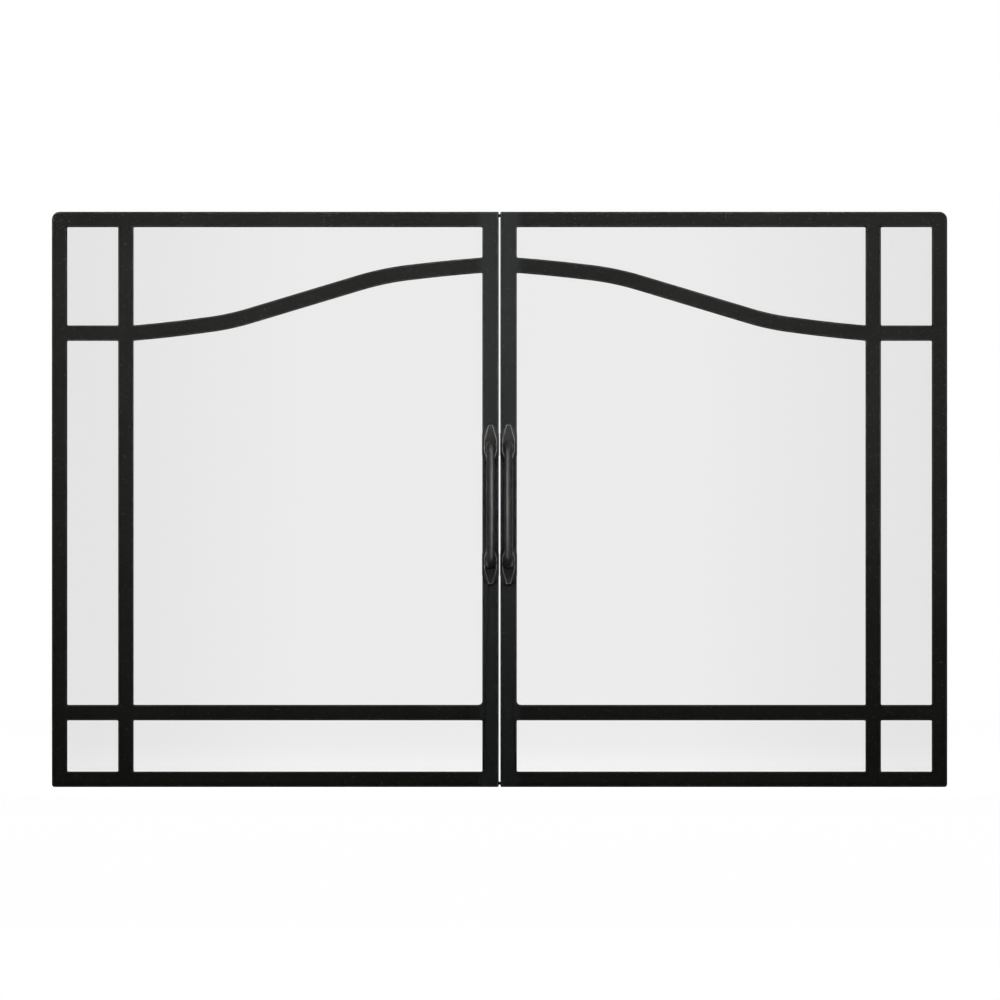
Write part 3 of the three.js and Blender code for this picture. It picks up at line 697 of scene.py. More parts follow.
def combined(first, second, operation):
    """Two shapes joined ("UNION"), or the second cut from the first ("DIFFERENCE")."""
    target = lent_object(first)
    tool = lent_object(second)
    step = target.modifiers.new("combine", "BOOLEAN")
    step.operation = operation
    step.solver = "EXACT"
    step.object = tool
    graph = bpy.context.evaluated_depsgraph_get()
    result = bmesh.new()
    result.from_object(target, graph)
    for thing in (target, tool):
        mesh = thing.data
        bpy.data.objects.remove(thing)
        bpy.data.meshes.remove(mesh)
    return result


# %% [markdown]
# ## The leaf: nine bars welded into one
# On the bench the bars are cut, laid in a jig, welded, and ground flush, so the painted face
# shows no joints. That rules out easing each bar by itself, because a bevel on every end would
# draw a line across each joint. The copies are pushed a little into each other and joined.

# %% Join the bars of a leaf
SIDES = {"left": -1, "right": 1}
X_AXIS, Z_AXIS = 0, 2
BARS = {  # each bar, with the axis along which both its ends are welded
    "hinge_stile": None,
    "meeting_stile": None,
    "top_rail": X_AXIS,
    "bottom_rail": X_AXIS,
    "side_muntin": Z_AXIS,
    "upper_cross_bar": X_AXIS,
    "lower_cross_bar": X_AXIS,
    "lower_bar": X_AXIS,
    "arch_bar": X_AXIS,
}
WELD_OVERLAP = 0.5 * MM
SNAP = 1e-6  # coordinates are rounded to this, so that faces in one plane really are
SAME_PLACE = 10 * SNAP


def bar_for_welding(node, axis):
    """A bar's solid, a little longer at both ends where it is welded to its neighbours."""
    shape = solid_of(node)
    low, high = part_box(node)
    for vert in shape.verts:
        vert.co = [round(value / SNAP) * SNAP for value in vert.co]
        if axis is not None:
            at_start = vert.co[axis] < low[axis] + SAME_PLACE
            at_end = vert.co[axis] > high[axis] - SAME_PLACE
            vert.co[axis] += WELD_OVERLAP * (at_end - at_start)
    return shape


def welded_leaf(side):
    leaf = None
    for name, axis in BARS.items():
        bar = bar_for_welding(f"{side}_{name}", axis)
        leaf = bar if leaf is None else combined(leaf, bar, "UNION")
    return merged(leaf, SNAP)


leaves = {side: welded_leaf(side) for side in SIDES}
print("faces of a welded leaf:", len(leaves["left"].faces))

# %% [markdown]
# ### Inside corners
# Inside corners keep a small round of weld, and where the lower bar meets the meeting stile the
# weld is a bit larger. An edge of such a corner runs from the front of a bar to its back, and
# is hollow. The large one is found by its place.

# %% Round the inside corners
CORNER_WELD = 1.1 * MM
CORNER_SEGMENTS = 3
LARGE_WELD = 4.2 * MM
LARGE_SEGMENTS = 4
NEAR = 0.1 * MM


def edge_x(node, way):
    """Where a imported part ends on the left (way -1) or on the right (way 1)."""
    low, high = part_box(node)
    return low.x if way < 0 else high.x


def inside_corners(leaf):
    """The hollow edges that run from the front of a bar to its back."""
    found = []
    for edge in sharp_edges(leaf):
        front, back = edge.verts
        runs_through = abs(front.co.y - back.co.y) > 0.9 * edge.calc_length()
        if runs_through and not edge.is_convex:
            found.append(edge)
    return found


def round_corners(leaf, side):
    corner_x = edge_x(f"{side}_meeting_stile", SIDES[side])
    bar_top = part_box(f"{side}_lower_bar")[1].z

    def is_large(edge):
        at = edge.verts[0].co
        return abs(at.x - corner_x) < NEAR and abs(at.z - bar_top) < NEAR

    small = [e for e in inside_corners(leaf) if not is_large(e)]
    bevel(leaf, small, CORNER_WELD, CORNER_SEGMENTS)
    large = [e for e in inside_corners(leaf) if is_large(e)]
    bevel(leaf, large, LARGE_WELD, LARGE_SEGMENTS)
    print(side, "leaf: small welds", len(small), "large", len(large))


for side, leaf in leaves.items():
    round_corners(leaf, side)

# %% [markdown]
# ### Eased outlines
# The outline is eased in front, and a little at the back. In front the eased edge is marked in
# strips for the paint: the flattest strip gets a painted highlight, and the steep ones painted shade.
# The bevel is narrower than the round of every outside corner, so it isn't clamped.

# %% Ease the outlines
FRONT_EASE = 1.4 * MM  # less than the smallest outside corner
FRONT_SEGMENTS = 4
# strips turned less than this carry the painted highlight
EDGE_HIGHLIGHT_TURN = math.radians(14)
# strips turned more than this carry the painted shade
EDGE_SHADE_TURN = math.radians(30)
BACK_EASE = 0.5 * MM
BACK_SEGMENTS = 2
SQUARE = 60  # degrees; only an edge that turns more is an outline


def on_plane(edge, y):
    return all(abs(v.co.y - y) < SAME_PLACE for v in edge.verts)


def ease_outlines(leaf, back_y):
    eased = leaf.faces.layers.float.new("eased")
    edge_shade = leaf.faces.layers.float.new("edge_shade")
    front = [e for e in sharp_edges(leaf, SQUARE) if on_plane(e, front_y)]
    # the flattest strip is marked for a painted highlight, the steep ones for painted shade
    for face in bevel(leaf, front, FRONT_EASE, FRONT_SEGMENTS, clamp=False):
        turned_away = face.normal.angle(Vector((0, -1, 0)))
        face[eased] = float(turned_away < EDGE_HIGHLIGHT_TURN)
        face[edge_shade] = float(turned_away > EDGE_SHADE_TURN)
    back = [e for e in sharp_edges(leaf, SQUARE) if on_plane(e, back_y)]
    bevel(leaf, back, BACK_EASE, BACK_SEGMENTS, clamp=False)
    print("outline edges in front:", len(front))


for side, leaf in leaves.items():
    ease_outlines(leaf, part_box(f"{side}_hinge_stile")[1].y)
    nodes = [f"{side}_{name}" for name in BARS]
    add_piece(leaf, f"{side}_leaf_frame", f"{side}_door", "black_paint", nodes)

# %% [markdown]
# ## The handles
# A smith starts with round bar, bends it hot over a mandrel and upsets its ends, so that each
# foot flares onto its plate. A sweep of circles follows that order: stations run up one leg,
# round the bend and along the grip, and each has a place, a direction and a radius. The rings
# of vertices are then joined by a skin.


# %% A swept round bar
def skin(shape, rings):
    """Faces between rings of vertices, and over the first and the last ring."""
    sides = len(rings[0])
    for first, second in zip(rings, rings[1:]):
        for k in range(sides):
            after = (k + 1) % sides
            shape.faces.new((first[k], first[after], second[after], second[k]))
    shape.faces.new(reversed(rings[0]))
    shape.faces.new(rings[-1])
    bmesh.ops.recalc_face_normals(shape, faces=shape.faces)
    return shape


def sweep(stations, sides):
    """A closed round skin through stations of (centre, direction, radius)."""
    shape = bmesh.new()
    rings = []
    for centre, direction, radius in stations:
        turn = Vector((0, 0, 1)).rotation_difference(direction).to_matrix().to_4x4()
        made = bmesh.ops.create_circle(
            shape, segments=sides, radius=radius, matrix=Matrix.Translation(centre) @ turn
        )
        rings.append(made["verts"])
    return skin(shape, rings)


def smooth(share):
    """Eases a share in and out, so that a taper has no kink at its ends."""
    return share * share * (3 - 2 * share)


def mixed(start, end, share):
    return start + (end - start) * share


print("halfway, eased:", smooth(0.5), "a tenth, eased:", round(smooth(0.1), 3))

# %% [markdown]
# ### Along the handle
# The leg is thickest at its plate, and thinnest where the bend starts. From the bend the grip
# swells towards its middle. The feet and the grip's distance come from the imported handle, and
# the upper half mirrors the lower one.

# %% Where the bar of a handle runs
GRIP_R = 4.5 * MM  # at the middle of the grip
BEND_BAR_R = 4.1 * MM
LEG_R = 4.5 * MM
FOOT_R = 5.6 * MM
BEND_R = 7 * MM  # of the bar's centre line
TOE = 0.5 * MM  # how far the foot spreads where it meets its plate
TOE_CURVE = 6  # and how sharply
PLATE_T = 3.2 * MM
PLATE_OUT = 22.4 * MM  # from the foot's centre to the outer tip
LEG_STEPS = 16
BEND_STEPS = 14
GRIP_STEPS = 36  # on each half of the grip
QUARTER = math.pi / 2


def leg_radius(depth, reach):
    knee = (PLATE_T + reach) / 2
    if depth < knee:
        share = max(0, (depth - PLATE_T) / (knee - PLATE_T))
        toe = TOE * (1 - share) ** TOE_CURVE
        return mixed(FOOT_R, LEG_R, math.sin(share * QUARTER)) + toe
    return mixed(LEG_R, BEND_BAR_R, smooth((depth - knee) / (reach - knee)))


def handle_stations(side):
    """Stations from the lower foot to the upper one."""
    low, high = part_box(f"{side}_handle")
    face_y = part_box(f"{side}_meeting_stile")[0].y
    x = (low.x + high.x) / 2
    foot = low.z + PLATE_OUT
    middle = (low.z + high.z) / 2
    standoff = face_y - low.y - GRIP_R
    reach = standoff - BEND_R
    lower_half = []
    for k in range(LEG_STEPS + 1):
        depth = mixed(PLATE_T / 2, reach, k / LEG_STEPS)
        lower_half.append((depth, foot, 0.0, leg_radius(depth, reach)))
    for k in range(1, BEND_STEPS + 1):
        turn = QUARTER * k / BEND_STEPS
        depth = reach + BEND_R * math.sin(turn)
        lower_half.append((depth, foot + BEND_R * (1 - math.cos(turn)), turn, BEND_BAR_R))
    for k in range(1, GRIP_STEPS + 1):
        share = k / GRIP_STEPS
        z = mixed(foot + BEND_R, middle, share)
        radius = mixed(BEND_BAR_R, GRIP_R, math.sin(share * QUARTER))
        lower_half.append((standoff, z, QUARTER, radius))
    upper_half = [(d, 2 * middle - z, math.pi - turn, r) for d, z, turn, r in lower_half[-2::-1]]

    def placed(depth, z, turn, radius):
        direction = Vector((0, -math.cos(turn), math.sin(turn)))
        return Vector((x, face_y - depth, z)), direction, radius

    return [placed(*station) for station in lower_half + upper_half]


runs = {side: handle_stations(side) for side in SIDES}
print("stations along a handle:", len(runs["left"]))

# %% [markdown]
# ### Hammered, polished, with a painted highlight
# The hammer leaves shallow dents, so each vertex is pushed inwards where a noise is high. Hands
# then polish the flank that fingers close round. It is marked on the vertices, most of all in
# the middle of the grip, and the finish makes it shinier and paints a highlight on it.

# %% Forge the bars
BAR_SIDES = 48
DENT = 0.28 * MM  # at a full peak of the noise, which few dents reach
DENT_SPACING = 7 * MM
GRIP_HIGHLIGHT_TURN = math.radians(20)  # from straight outwards, towards the middle of the doors
GRIP_HIGHLIGHT_LENGTH = 75 * MM  # half of the stretch that is polished and carries the painted highlight
GRIP_HIGHLIGHT_FOCUS = 14  # the higher, the narrower the polished flank and its painted highlight


def hammered(shape, stations):
    """Pushes each vertex towards the bar's centre line where a dent is."""
    shape.verts.ensure_lookup_table()
    for number, vert in enumerate(shape.verts):
        centre = stations[number // BAR_SIDES][0]
        dent = max(0.0, noise.noise(vert.co / DENT_SPACING))
        vert.co += (centre - vert.co).normalized() * DENT * dent


def mark_polish_and_highlight(shape, side, stations):
    """Marks the flank in front, towards the other handle, for polish and a painted highlight."""
    layer = shape.verts.layers.float.new("polish_and_highlight")
    inward = -SIDES[side]
    facing = Vector((inward * math.sin(GRIP_HIGHLIGHT_TURN), -math.cos(GRIP_HIGHLIGHT_TURN), 0))
    grip = min(centre.y for centre, _, _ in stations)
    middle = sum((centre.z for centre, _, _ in stations), 0.0) / len(stations)
    shape.normal_update()
    for vert in shape.verts:
        turned = max(0.0, vert.normal.dot(facing)) ** GRIP_HIGHLIGHT_FOCUS
        along = max(0.0, 1 - ((vert.co.z - middle) / GRIP_HIGHLIGHT_LENGTH) ** 2)
        vert[layer] = turned * along if vert.co.y < grip + GRIP_R else 0.0


def handle_bar(side):
    bar = sweep(runs[side], BAR_SIDES)
    hammered(bar, runs[side])
    mark_polish_and_highlight(bar, side, runs[side])
    name = f"{side}_handle_bar"
    return add_piece(bar, name, f"{side}_door", "forged_black", [f"{side}_handle"])


print("dents up to", DENT / MM, "mm")

# %% [markdown]
# ### The leaf-shaped plates
# Each foot stands on a plate drawn out to two blunt tips. Its rim is thin and its flanks slope up
# to a narrow flat, and the two ridges between them carry a painted highlight. Cross sections along
# the plate give that shape. The plates stay pieces of their own, as they are before the smith sets
# the bar's feet on them.

# %% A plate
PLATE_RIM_T = 1.4 * MM
PLATE_HALF_W = 8.8 * MM
TIP_HALF_W = 2.3 * MM
RIDGE_HALF_W = 6.3 * MM  # of the flat, beside the foot
RIDGE_TIP_HALF_W = 1.7 * MM
PLATE_IN = 19 * MM  # from the foot's centre to the inner tip
SHOULDER_OUT = 11.5 * MM  # from the foot's centre to where the sides start to curve in
SHOULDER_IN = 9 * MM
RIDGE_START = 5.6 * MM  # from the foot's centre to where the flat starts to narrow
TIP_SLOPE = 1.2 * MM
PLATE_STEPS = 14
PLATE_EASE = 0.5 * MM
PLATE_EASE_SEGMENTS = 2


def half_plate(way, reach, shoulder):
    """Rows of (place along the plate, outline, flat, height) from the foot to one tip."""
    places = [reach * k / PLATE_STEPS for k in range(PLATE_STEPS)]
    places = [a for a in places if a < reach - TIP_SLOPE] + [reach - TIP_SLOPE, reach]
    rows = []
    for along in places:
        curve = max(0.0, (along - shoulder) / (reach - shoulder))
        outline = mixed(PLATE_HALF_W, TIP_HALF_W, curve * curve)
        narrow = max(0.0, (along - RIDGE_START) / (reach - RIDGE_START))
        flat = min(outline, mixed(RIDGE_HALF_W, RIDGE_TIP_HALF_W, narrow))
        height = PLATE_RIM_T if along == reach else PLATE_T
        rows.append((way * along, outline, flat, height))
    return rows


def handle_plate(x, face_y, foot_z, out):
    """`out` is 1 where the plate's outer tip points up and -1 where it points down."""
    shape = bmesh.new()
    sections = []
    inner_rows = half_plate(-1, PLATE_IN, SHOULDER_IN)
    for along, outline, flat, height in inner_rows[:0:-1] + half_plate(1, PLATE_OUT, SHOULDER_OUT):
        section = (
            (-outline, 0), (-outline, PLATE_RIM_T), (-flat, height),
            (flat, height), (outline, PLATE_RIM_T), (outline, 0),
        )
        z = foot_z + out * along
        sections.append([shape.verts.new((x + across, face_y - d, z)) for across, d in section])
    return skin(shape, sections)


def ease_plate(shape, top_y):
    """Eases the ridges, which are marked for a painted highlight, and then the rim."""
    edge_highlight = shape.faces.layers.float.new("edge_highlight")
    ridges = [e for e in sharp_edges(shape, 20) if on_plane(e, top_y)]
    # the ridges carry a painted highlight
    for face in bevel(shape, ridges, PLATE_EASE, PLATE_EASE_SEGMENTS, clamp=False):
        face[edge_highlight] = 1.0
    rim = [e for e in sharp_edges(shape, 35) if not on_plane(e, top_y)]
    bevel(shape, rim, PLATE_EASE, PLATE_EASE_SEGMENTS)


for side in SIDES:
    bar = handle_bar(side)
    face_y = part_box(f"{side}_meeting_stile")[0].y
    lower_foot, upper_foot = runs[side][0][0], runs[side][-1][0]
    for end, foot, out in (("lower", lower_foot, -1), ("upper", upper_foot, 1)):
        plate = handle_plate(foot.x, face_y, foot.z, out)
        ease_plate(plate, face_y - PLATE_T)
        name = f"{side}_{end}_handle_plate"
        add_piece(plate, name, f"{side}_door", "forged_black", [f"{side}_handle"])
    print(side, "handle: bar of", len(bar.data.polygons), "faces on two plates")

# %% [markdown]
# ## Screws
# The real screws are bought, and one recipe makes all of them. A screw is turned: half its
# outline is spun round the axis. The cross is punched in last, so it is cut from the head by a
# pair of crossed blades that taper towards their tips.

# %% A pan-head screw
SPIN_STEPS = 32
TIP_LENGTH, ROOT_LENGTH = 0.7, 1.15  # half a blade's length, as shares of the cross's reach
TIP_WIDTH, ROOT_WIDTH = 0.30, 0.42  # its whole width, as shares of the same
PUNCH_ABOVE = 0.3  # how far the punch stands out of the head, as a share of its depth
CROSS_REACH = 0.6  # of the head's radius
CROSS_DEPTH = 0.6  # of the head's height
SEAT_EASE = 0.96, 0.12  # radius at the seat, and height of its ease, as shares of the head's
RIM_HEIGHT = 0.45  # height at which the dome starts
DOME_REACH = 0.38  # how far in it reaches
DOME_STEPS = 6


def turned(profile):
    """A closed skin from (radius, height) points, spun round the z axis."""
    shape = bmesh.new()
    verts = [shape.verts.new((radius, 0, height)) for radius, height in profile]
    edges = [shape.edges.new(pair) for pair in zip(verts, verts[1:])]
    bmesh.ops.spin(
        shape, geom=verts + edges, axis=(0, 0, 1), cent=(0, 0, 0),
        angle=2 * math.pi, steps=SPIN_STEPS, use_merge=True, use_duplicate=False,
    )
    bmesh.ops.remove_doubles(shape, verts=shape.verts, dist=SNAP)
    bmesh.ops.recalc_face_normals(shape, faces=shape.faces)
    return shape


def punch_blade(reach, depth, top, turn):
    blade = bmesh.new()
    made = bmesh.ops.create_cube(blade, size=1.0)
    for vert in made["verts"]:
        at_tip = vert.co.z < 0
        vert.co.x *= 2 * reach * (TIP_LENGTH if at_tip else ROOT_LENGTH)
        vert.co.y *= reach * (TIP_WIDTH if at_tip else ROOT_WIDTH)
        vert.co.z = top - depth if at_tip else top + depth * PUNCH_ABOVE
    spun = Matrix.Rotation(turn, 3, "Z")
    bmesh.ops.rotate(blade, verts=blade.verts, cent=(0, 0, 0), matrix=spun)
    return blade


def pan_head(radius, height, shank_radius, shank_length):
    """A screw whose head stands on z = 0."""
    seat, lip = SEAT_EASE
    rim = height * RIM_HEIGHT
    dome = radius * DOME_REACH
    profile = [(0, -shank_length), (shank_radius, -shank_length), (shank_radius, 0)]
    profile += [(radius * seat, 0), (radius, height * lip), (radius, rim)]
    for k in range(1, DOME_STEPS + 1):
        turn = QUARTER * k / DOME_STEPS
        profile.append(
            (radius - dome * (1 - math.cos(turn)), rim + (height - rim) * math.sin(turn))
        )
    profile.append((0, height))
    reach, depth = radius * CROSS_REACH, height * CROSS_DEPTH
    blades = [punch_blade(reach, depth, height, turn) for turn in (0, QUARTER)]
    return combined(turned(profile), combined(*blades, "UNION"), "DIFFERENCE")


small_screw = pan_head(2.9 * MM, 1.9 * MM, 1.6 * MM, 2.5 * MM)
print("screw faces:", len(small_screw.faces))

# %% [markdown]
# ### Handle screws
# A handle is held from behind, by two screws through the stile. Their heads sit where the packed
# ones do, and each cross points another way, as it comes to rest when a screw is driven home.

# %% Drive the handle screws
BACKWARDS = (0, 1, 0)
HEAD_R, HEAD_T = 3.5 * MM, 2.2 * MM
SHANK_R = 2 * MM


def put_screw(pattern, name, body, place, facing, turn, replaces=()):
    """A copy of a screw with its head's seat at `place`, looking along `facing`."""
    shape = pattern.copy()
    aim = Vector((0, 0, 1)).rotation_difference(Vector(facing)).to_matrix().to_4x4()
    spun = Matrix.Rotation(math.radians(turn), 4, "Z")
    bmesh.ops.transform(
        shape, verts=shape.verts, matrix=Matrix.Translation(place) @ aim @ spun
    )
    return add_piece(shape, name, body, "zinc_plate", replaces)


for side in SIDES:
    for end, turn in (("lower", 12), ("upper", 55)):
        node = f"{side}_{end}_handle_screw"
        low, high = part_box(node)
        seat = ((low.x + high.x) / 2, high.y - HEAD_T, (low.z + high.z) / 2)
        shank = high.y - HEAD_T - low.y
        pattern = pan_head(HEAD_R, HEAD_T, SHANK_R, shank)
        put_screw(pattern, f"{node}_dressed", f"{side}_door", seat, BACKWARDS, turn, [node])
        pattern.free()
        print(node, "has a shank of", round(shank / MM, 1), "mm")

# %% [markdown]
# ## Glass, gasket and clips
# Tempered glass has its edges ground before it goes into the furnace, so a narrow bright chamfer
# runs all round. The tape behind the bars is soft, and its edges are round. The clips are bent
# from zinc-plated sheet, each held by one screw through its foot.

# %% Glaze the leaves
GLASS_CHAMFER = 0.5 * MM
TAPE_ROUND = 0.45 * MM
CLIP_EASE = 0.22 * MM
CLIPS = ("lower_outer_clip", "lower_inner_clip", "upper_outer_clip", "upper_inner_clip")
CLIP_SHEET = 1.2 * MM
CLIP_SCREW_IN = 4.2 * MM  # from the end of the foot to the screw


def dressed(node, body, slot, ease, segments=2, angle=40):
    """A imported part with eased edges."""
    shape = solid_of(node)
    bevel(shape, sharp_edges(shape, angle), ease, segments)
    return add_piece(shape, f"{node}_dressed", body, slot, [node])


for side in SIDES:
    door = f"{side}_door"
    dressed(f"{side}_glass", door, "clear_glass", GLASS_CHAMFER, segments=1)
    dressed(f"{side}_glass_gasket", door, "gasket_tape", TAPE_ROUND, segments=3)
    for number, clip in enumerate(CLIPS):
        node = f"{side}_{clip}"
        dressed(node, door, "zinc_plate", CLIP_EASE, angle=50)
        low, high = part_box(node)
        z = low.z + CLIP_SCREW_IN if "lower" in clip else high.z - CLIP_SCREW_IN
        place = ((low.x + high.x) / 2, low.y + CLIP_SHEET, z)
        put_screw(small_screw, f"{node}_screw", door, place, BACKWARDS, 17 + 31 * number)
    print(side, "leaf is glazed, with", len(CLIPS), "clips")

# %% [markdown]
# ## Hinges
# Each hinge is a lift-off pair: the leaf's knuckle drops onto a pin that is pressed into the
# frame's knuckle, with a brass washer between them. Pins and washers are turned parts, so their
# profiles are spun like the screws.

# %% Knuckles, pins and washers
PIN_R = 2.45 * MM
PIN_HEAD_R = 3.8 * MM
PIN_HEAD_T = 1.5 * MM
PIN_HEAD_FOOT = 0.86  # radius at the foot of the head, as a share
PIN_HEAD_EASE = 0.2 * MM
PIN_FOOT_EASE = 0.35 * MM
PIN_TIP_STEPS = 8
WASHER_BORE = 2.55 * MM
WASHER_EASE = 0.15 * MM
KNUCKLE_EASE = 0.3 * MM


def turned_piece(profile, node, slot):
    """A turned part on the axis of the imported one, its profile measured from the lowest point."""
    low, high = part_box(node)
    shape = turned(profile)
    foot = ((low.x + high.x) / 2, (low.y + high.y) / 2, low.z)
    bmesh.ops.translate(shape, verts=shape.verts, vec=foot)
    return add_piece(shape, f"{node}_dressed", "mounting_frame", slot, [node])


def pin_profile(length):
    """A head at the bottom, and a round tip for the leaf's knuckle to find."""
    profile = [(0, 0), (PIN_HEAD_R * PIN_HEAD_FOOT, 0), (PIN_HEAD_R, PIN_FOOT_EASE)]
    profile.append((PIN_HEAD_R, PIN_HEAD_T - PIN_HEAD_EASE))
    profile.append((PIN_HEAD_R - PIN_HEAD_EASE, PIN_HEAD_T))
    profile.append((PIN_R, PIN_HEAD_T))
    for k in range(PIN_TIP_STEPS + 1):
        turn = QUARTER * k / PIN_TIP_STEPS
        profile.append((PIN_R * math.cos(turn), length - PIN_R + PIN_R * math.sin(turn)))
    return profile


def ring_profile(inner, outer, height, ease):
    corners = [
        (inner + ease, 0), (outer - ease, 0), (outer, ease), (outer, height - ease),
        (outer - ease, height), (inner + ease, height), (inner, height - ease), (inner, ease),
    ]
    return corners + corners[:1]


def dress_hinge(hinge, door):
    dressed(f"{hinge}_leaf_knuckle", door, "black_paint", KNUCKLE_EASE)
    dressed(f"{hinge}_frame_knuckle", "mounting_frame", "frame_paint", KNUCKLE_EASE)
    low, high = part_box(f"{hinge}_hinge_pin")
    turned_piece(pin_profile(high.z - low.z), f"{hinge}_hinge_pin", "zinc_plate")
    low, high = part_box(f"{hinge}_hinge_washer")
    ring = ring_profile(WASHER_BORE, (high.x - low.x) / 2, high.z - low.z, WASHER_EASE)
    turned_piece(ring, f"{hinge}_hinge_washer", "brass")


print("play of a washer on its pin:", round((WASHER_BORE - PIN_R) / MM, 2), "mm")

# %% [markdown]
# ### Welded to the leaf, screwed to the frame
# The leaf's plate is welded along both its ends. A weld bead is a row of small ripples, left as
# the rod moves on step by step, so a round bar is swept with a radius that rises and falls. The
# frame's plate is screwed to the jamb through two holes, so that the doors can be taken off.

# %% Hang the doors
RIPPLE = 1.1 * MM  # from one ripple of a weld to the next
RIPPLE_DEPTH = 0.1  # share of the radius by which it rises and falls
RIPPLE_STEPS = 4
BLUNT = 0.04  # keeps the very ends of a bead from being points
BEAD_SIDES = 16
BEAD_R = 1.0 * MM
BEAD_START, BEAD_END = 0.8 * MM, 8.5 * MM  # from the inner edge of the leaf's plate
FRAME_SCREW_IN = 5.2 * MM  # from the back edge of the frame's plate


def weld_bead(start, end, radius, name, body, slot):
    """A rippled bead from start to end, rounded off at both ends."""
    start, end = Vector(start), Vector(end)
    direction = (end - start).normalized()
    length = (end - start).length
    steps = max(2, round(length / RIPPLE)) * RIPPLE_STEPS
    stations = []
    for k in range(steps + 1):
        along = length * k / steps
        ripple = 1 - RIPPLE_DEPTH + RIPPLE_DEPTH * math.cos(2 * math.pi * along / RIPPLE)
        from_end = min(along, length - along)
        ends = min(1.0, math.sqrt(2 * from_end / radius + BLUNT))
        stations.append((start + direction * along, direction, radius * ripple * ends))
    return add_piece(sweep(stations, BEAD_SIDES), name, body, slot)


def weld_to_leaf(knuckle, side):
    low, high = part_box(knuckle)
    way = SIDES[side]
    inner = edge_x(knuckle, -way)
    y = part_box(f"{side}_hinge_stile")[1].y
    for rim, z in (("bottom", low.z), ("top", high.z)):
        start = (inner + way * BEAD_START, y, z)
        finish = (inner + way * BEAD_END, y, z)
        weld_bead(start, finish, BEAD_R, f"{knuckle}_{rim}_weld", f"{side}_door", "black_paint")


def screw_to_frame(knuckle, side):
    low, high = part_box(knuckle)
    way = SIDES[side]
    for number, height, turn in ((1, 0.25, 23), (2, 0.75, 63)):
        place = (edge_x(knuckle, -way), high.y - FRAME_SCREW_IN, mixed(low.z, high.z, height))
        name = f"{knuckle}_screw_{number}"
        put_screw(small_screw, name, "mounting_frame", place, (-way, 0, 0), turn)


for side in SIDES:
    for end in ("lower", "upper"):
        hinge = f"{side}_{end}"
        dress_hinge(hinge, f"{side}_door")
        weld_to_leaf(f"{hinge}_leaf_knuckle", side)
        screw_to_frame(f"{hinge}_frame_knuckle", side)
        print(hinge, "hinge is welded and screwed on")

# %% [markdown]
# ## The mounting frame
# The frame is four strips of steel that stand on edge. They are welded where they meet, with a
# bead inside each corner, and painted after that.

# %% Strips and their welds
STRIPS = ("head_strip", "sill_strip", "left_jamb_strip", "right_jamb_strip")
STRIP_EASE = 0.35 * MM
STRIP_BEAD_R = 1.3 * MM
STRIP_BEAD_IN = 2 * MM  # from both edges of a strip

for strip in STRIPS:
    dressed(strip, "mounting_frame", "frame_paint", STRIP_EASE)

head_low, head_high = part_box("head_strip")
sill_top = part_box("sill_strip")[1].z
for side, way in SIDES.items():
    inner = edge_x(f"{side}_jamb_strip", -way)
    for end, z in (("upper", head_low.z), ("lower", sill_top)):
        start = (inner, head_low.y + STRIP_BEAD_IN, z)
        finish = (inner, head_high.y - STRIP_BEAD_IN, z)
        name = f"{side}_{end}_corner_weld"
        weld_bead(start, finish, STRIP_BEAD_R, name, "mounting_frame", "frame_paint")
print("strips:", len(STRIPS))

# %% [markdown]
# ## Magnetic catches
# Under the head strip sit two catches. Each is a moulded body with a channel across it, two
# slots that let its screws slide before they are tightened, and two ground steel poles that
# reach out in front to meet the leaf. The body starts as a block and is cut like a moulding.

# %% A catch
BODY_ROUND = 0.7 * MM
POLE_W = 4 * MM
POLE_OUT = 0.8 * MM  # how far the poles stand out of the body
POLE_LENGTH = 3 * MM
POLE_SPACING = 18 * MM
POLE_LOW, POLE_TOP = 0.9 * MM, 0.4 * MM  # below and above a pole, to the faces of the catch
POLE_ROUND = 0.25 * MM
SLOT_W = 5.6 * MM
SLOT_LENGTH = 8.4 * MM
SLOT_DEPTH = 2.6 * MM
SLOT_SPACING = 20.8 * MM
SLOT_BACK = 2 * MM  # behind the middle of the body
SLOT_SIDES = 24
CHANNEL_W = 9.2 * MM
CHANNEL_DEPTH = 0.8 * MM
CUT_PAST = 1 * MM  # how far a cutter starts outside what it cuts

catch_screw = pan_head(2.4 * MM, 1.7 * MM, 1.4 * MM, 1.0 * MM)


def block(low, high, ease=0.0, segments=0):
    """A block between two corners, with all its edges eased."""
    shape = bmesh.new()
    made = bmesh.ops.create_cube(shape, size=1.0)
    for vert in made["verts"]:
        vert.co = [a if value < 0 else b for value, a, b in zip(vert.co, low, high)]
    if ease:
        bevel(shape, shape.edges[:], ease, segments)
    bmesh.ops.recalc_face_normals(shape, faces=shape.faces)
    return shape


def slot_cutter(x, y, z_low, z_high):
    """A slot with round ends that runs from front to back."""
    cutter = bmesh.new()
    made = bmesh.ops.create_circle(
        cutter, cap_ends=True, segments=SLOT_SIDES, radius=SLOT_W / 2
    )
    stretch = (SLOT_LENGTH - SLOT_W) / 2
    for vert in made["verts"]:
        vert.co.y += stretch if vert.co.y > 0 else -stretch
    bmesh.ops.translate(cutter, verts=cutter.verts, vec=(x, y, z_low))
    up = bmesh.ops.extrude_face_region(cutter, geom=cutter.faces[:])
    raised = [v for v in up["geom"] if isinstance(v, bmesh.types.BMVert)]
    bmesh.ops.translate(cutter, verts=raised, vec=(0, 0, z_high - z_low))
    bmesh.ops.recalc_face_normals(cutter, faces=cutter.faces)
    return cutter


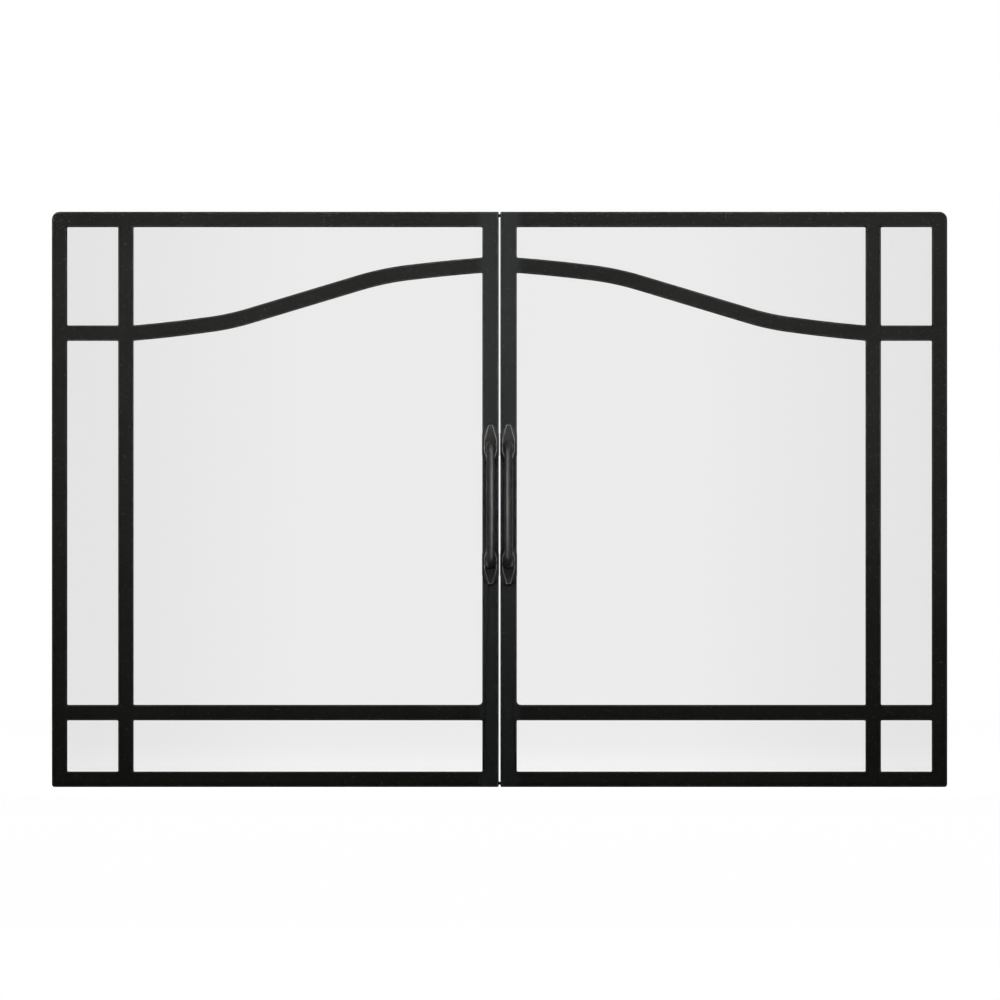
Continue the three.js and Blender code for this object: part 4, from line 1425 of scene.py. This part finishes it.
def put_catch(node):
    low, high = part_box(node)
    x = (low.x + high.x) / 2
    front = low.y + POLE_OUT
    slot_y = (front + high.y) / 2 + SLOT_BACK
    body = block((low.x, front, low.z), high, BODY_ROUND, 3)
    for number, way in ((1, -1), (2, 1)):
        slot_x = x + way * SLOT_SPACING / 2
        cutter = slot_cutter(slot_x, slot_y, low.z - CUT_PAST, low.z + SLOT_DEPTH)
        body = combined(body, cutter, "DIFFERENCE")
        seat = (slot_x, slot_y, low.z + SLOT_DEPTH)
        name = f"{node}_screw_{number}"
        put_screw(catch_screw, name, "mounting_frame", seat, (0, 0, -1), 30 + 25 * way)
    channel = block(
        (x - CHANNEL_W / 2, low.y - CUT_PAST, low.z - CUT_PAST),
        (x + CHANNEL_W / 2, high.y + CUT_PAST, low.z + CHANNEL_DEPTH),
    )
    body = combined(body, channel, "DIFFERENCE")
    add_piece(body, f"{node}_body", "mounting_frame", "black_plastic", [node])
    for number, way in ((1, -1), (2, 1)):
        pole_x = x + way * POLE_SPACING / 2
        pole = block(
            (pole_x - POLE_W / 2, low.y, low.z + POLE_LOW),
            (pole_x + POLE_W / 2, low.y + POLE_LENGTH, high.z - POLE_TOP),
            POLE_ROUND,
            2,
        )
        name = f"{node}_pole_{number}"
        add_piece(pole, name, "mounting_frame", "zinc_plate", finish=pole_steel)


print("poles stand out", POLE_OUT / MM, "mm")

# %% [markdown]
# ### Strike plates
# The poles need steel to pull on, and the painted stile alone would wear. So each leaf carries a
# zinc-plated strike plate with two flat screw heads that hardly stand above it.

# %% Catches and strike plates
STRIKE_EASE = 0.2 * MM
STRIKE_SCREW_OUT = 14.2 * MM  # from the middle of the plate

strike_screw = pan_head(1.7 * MM, 0.35 * MM, 1.2 * MM, 1.0 * MM)

for side in SIDES:
    put_catch(f"{side}_magnet_catch")
    node = f"{side}_strike_plate"
    dressed(node, f"{side}_door", "zinc_plate", STRIKE_EASE)
    low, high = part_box(node)
    for number, way in ((1, -1), (2, 1)):
        x = (low.x + high.x) / 2 + way * STRIKE_SCREW_OUT
        seat = (x, high.y, (low.z + high.z) / 2)
        name = f"{node}_screw_{number}"
        put_screw(strike_screw, name, f"{side}_door", seat, BACKWARDS, 20 * way)
    print(side, "catch meets its strike plate at z =", round((low.z + high.z) / 2, 3), "m")
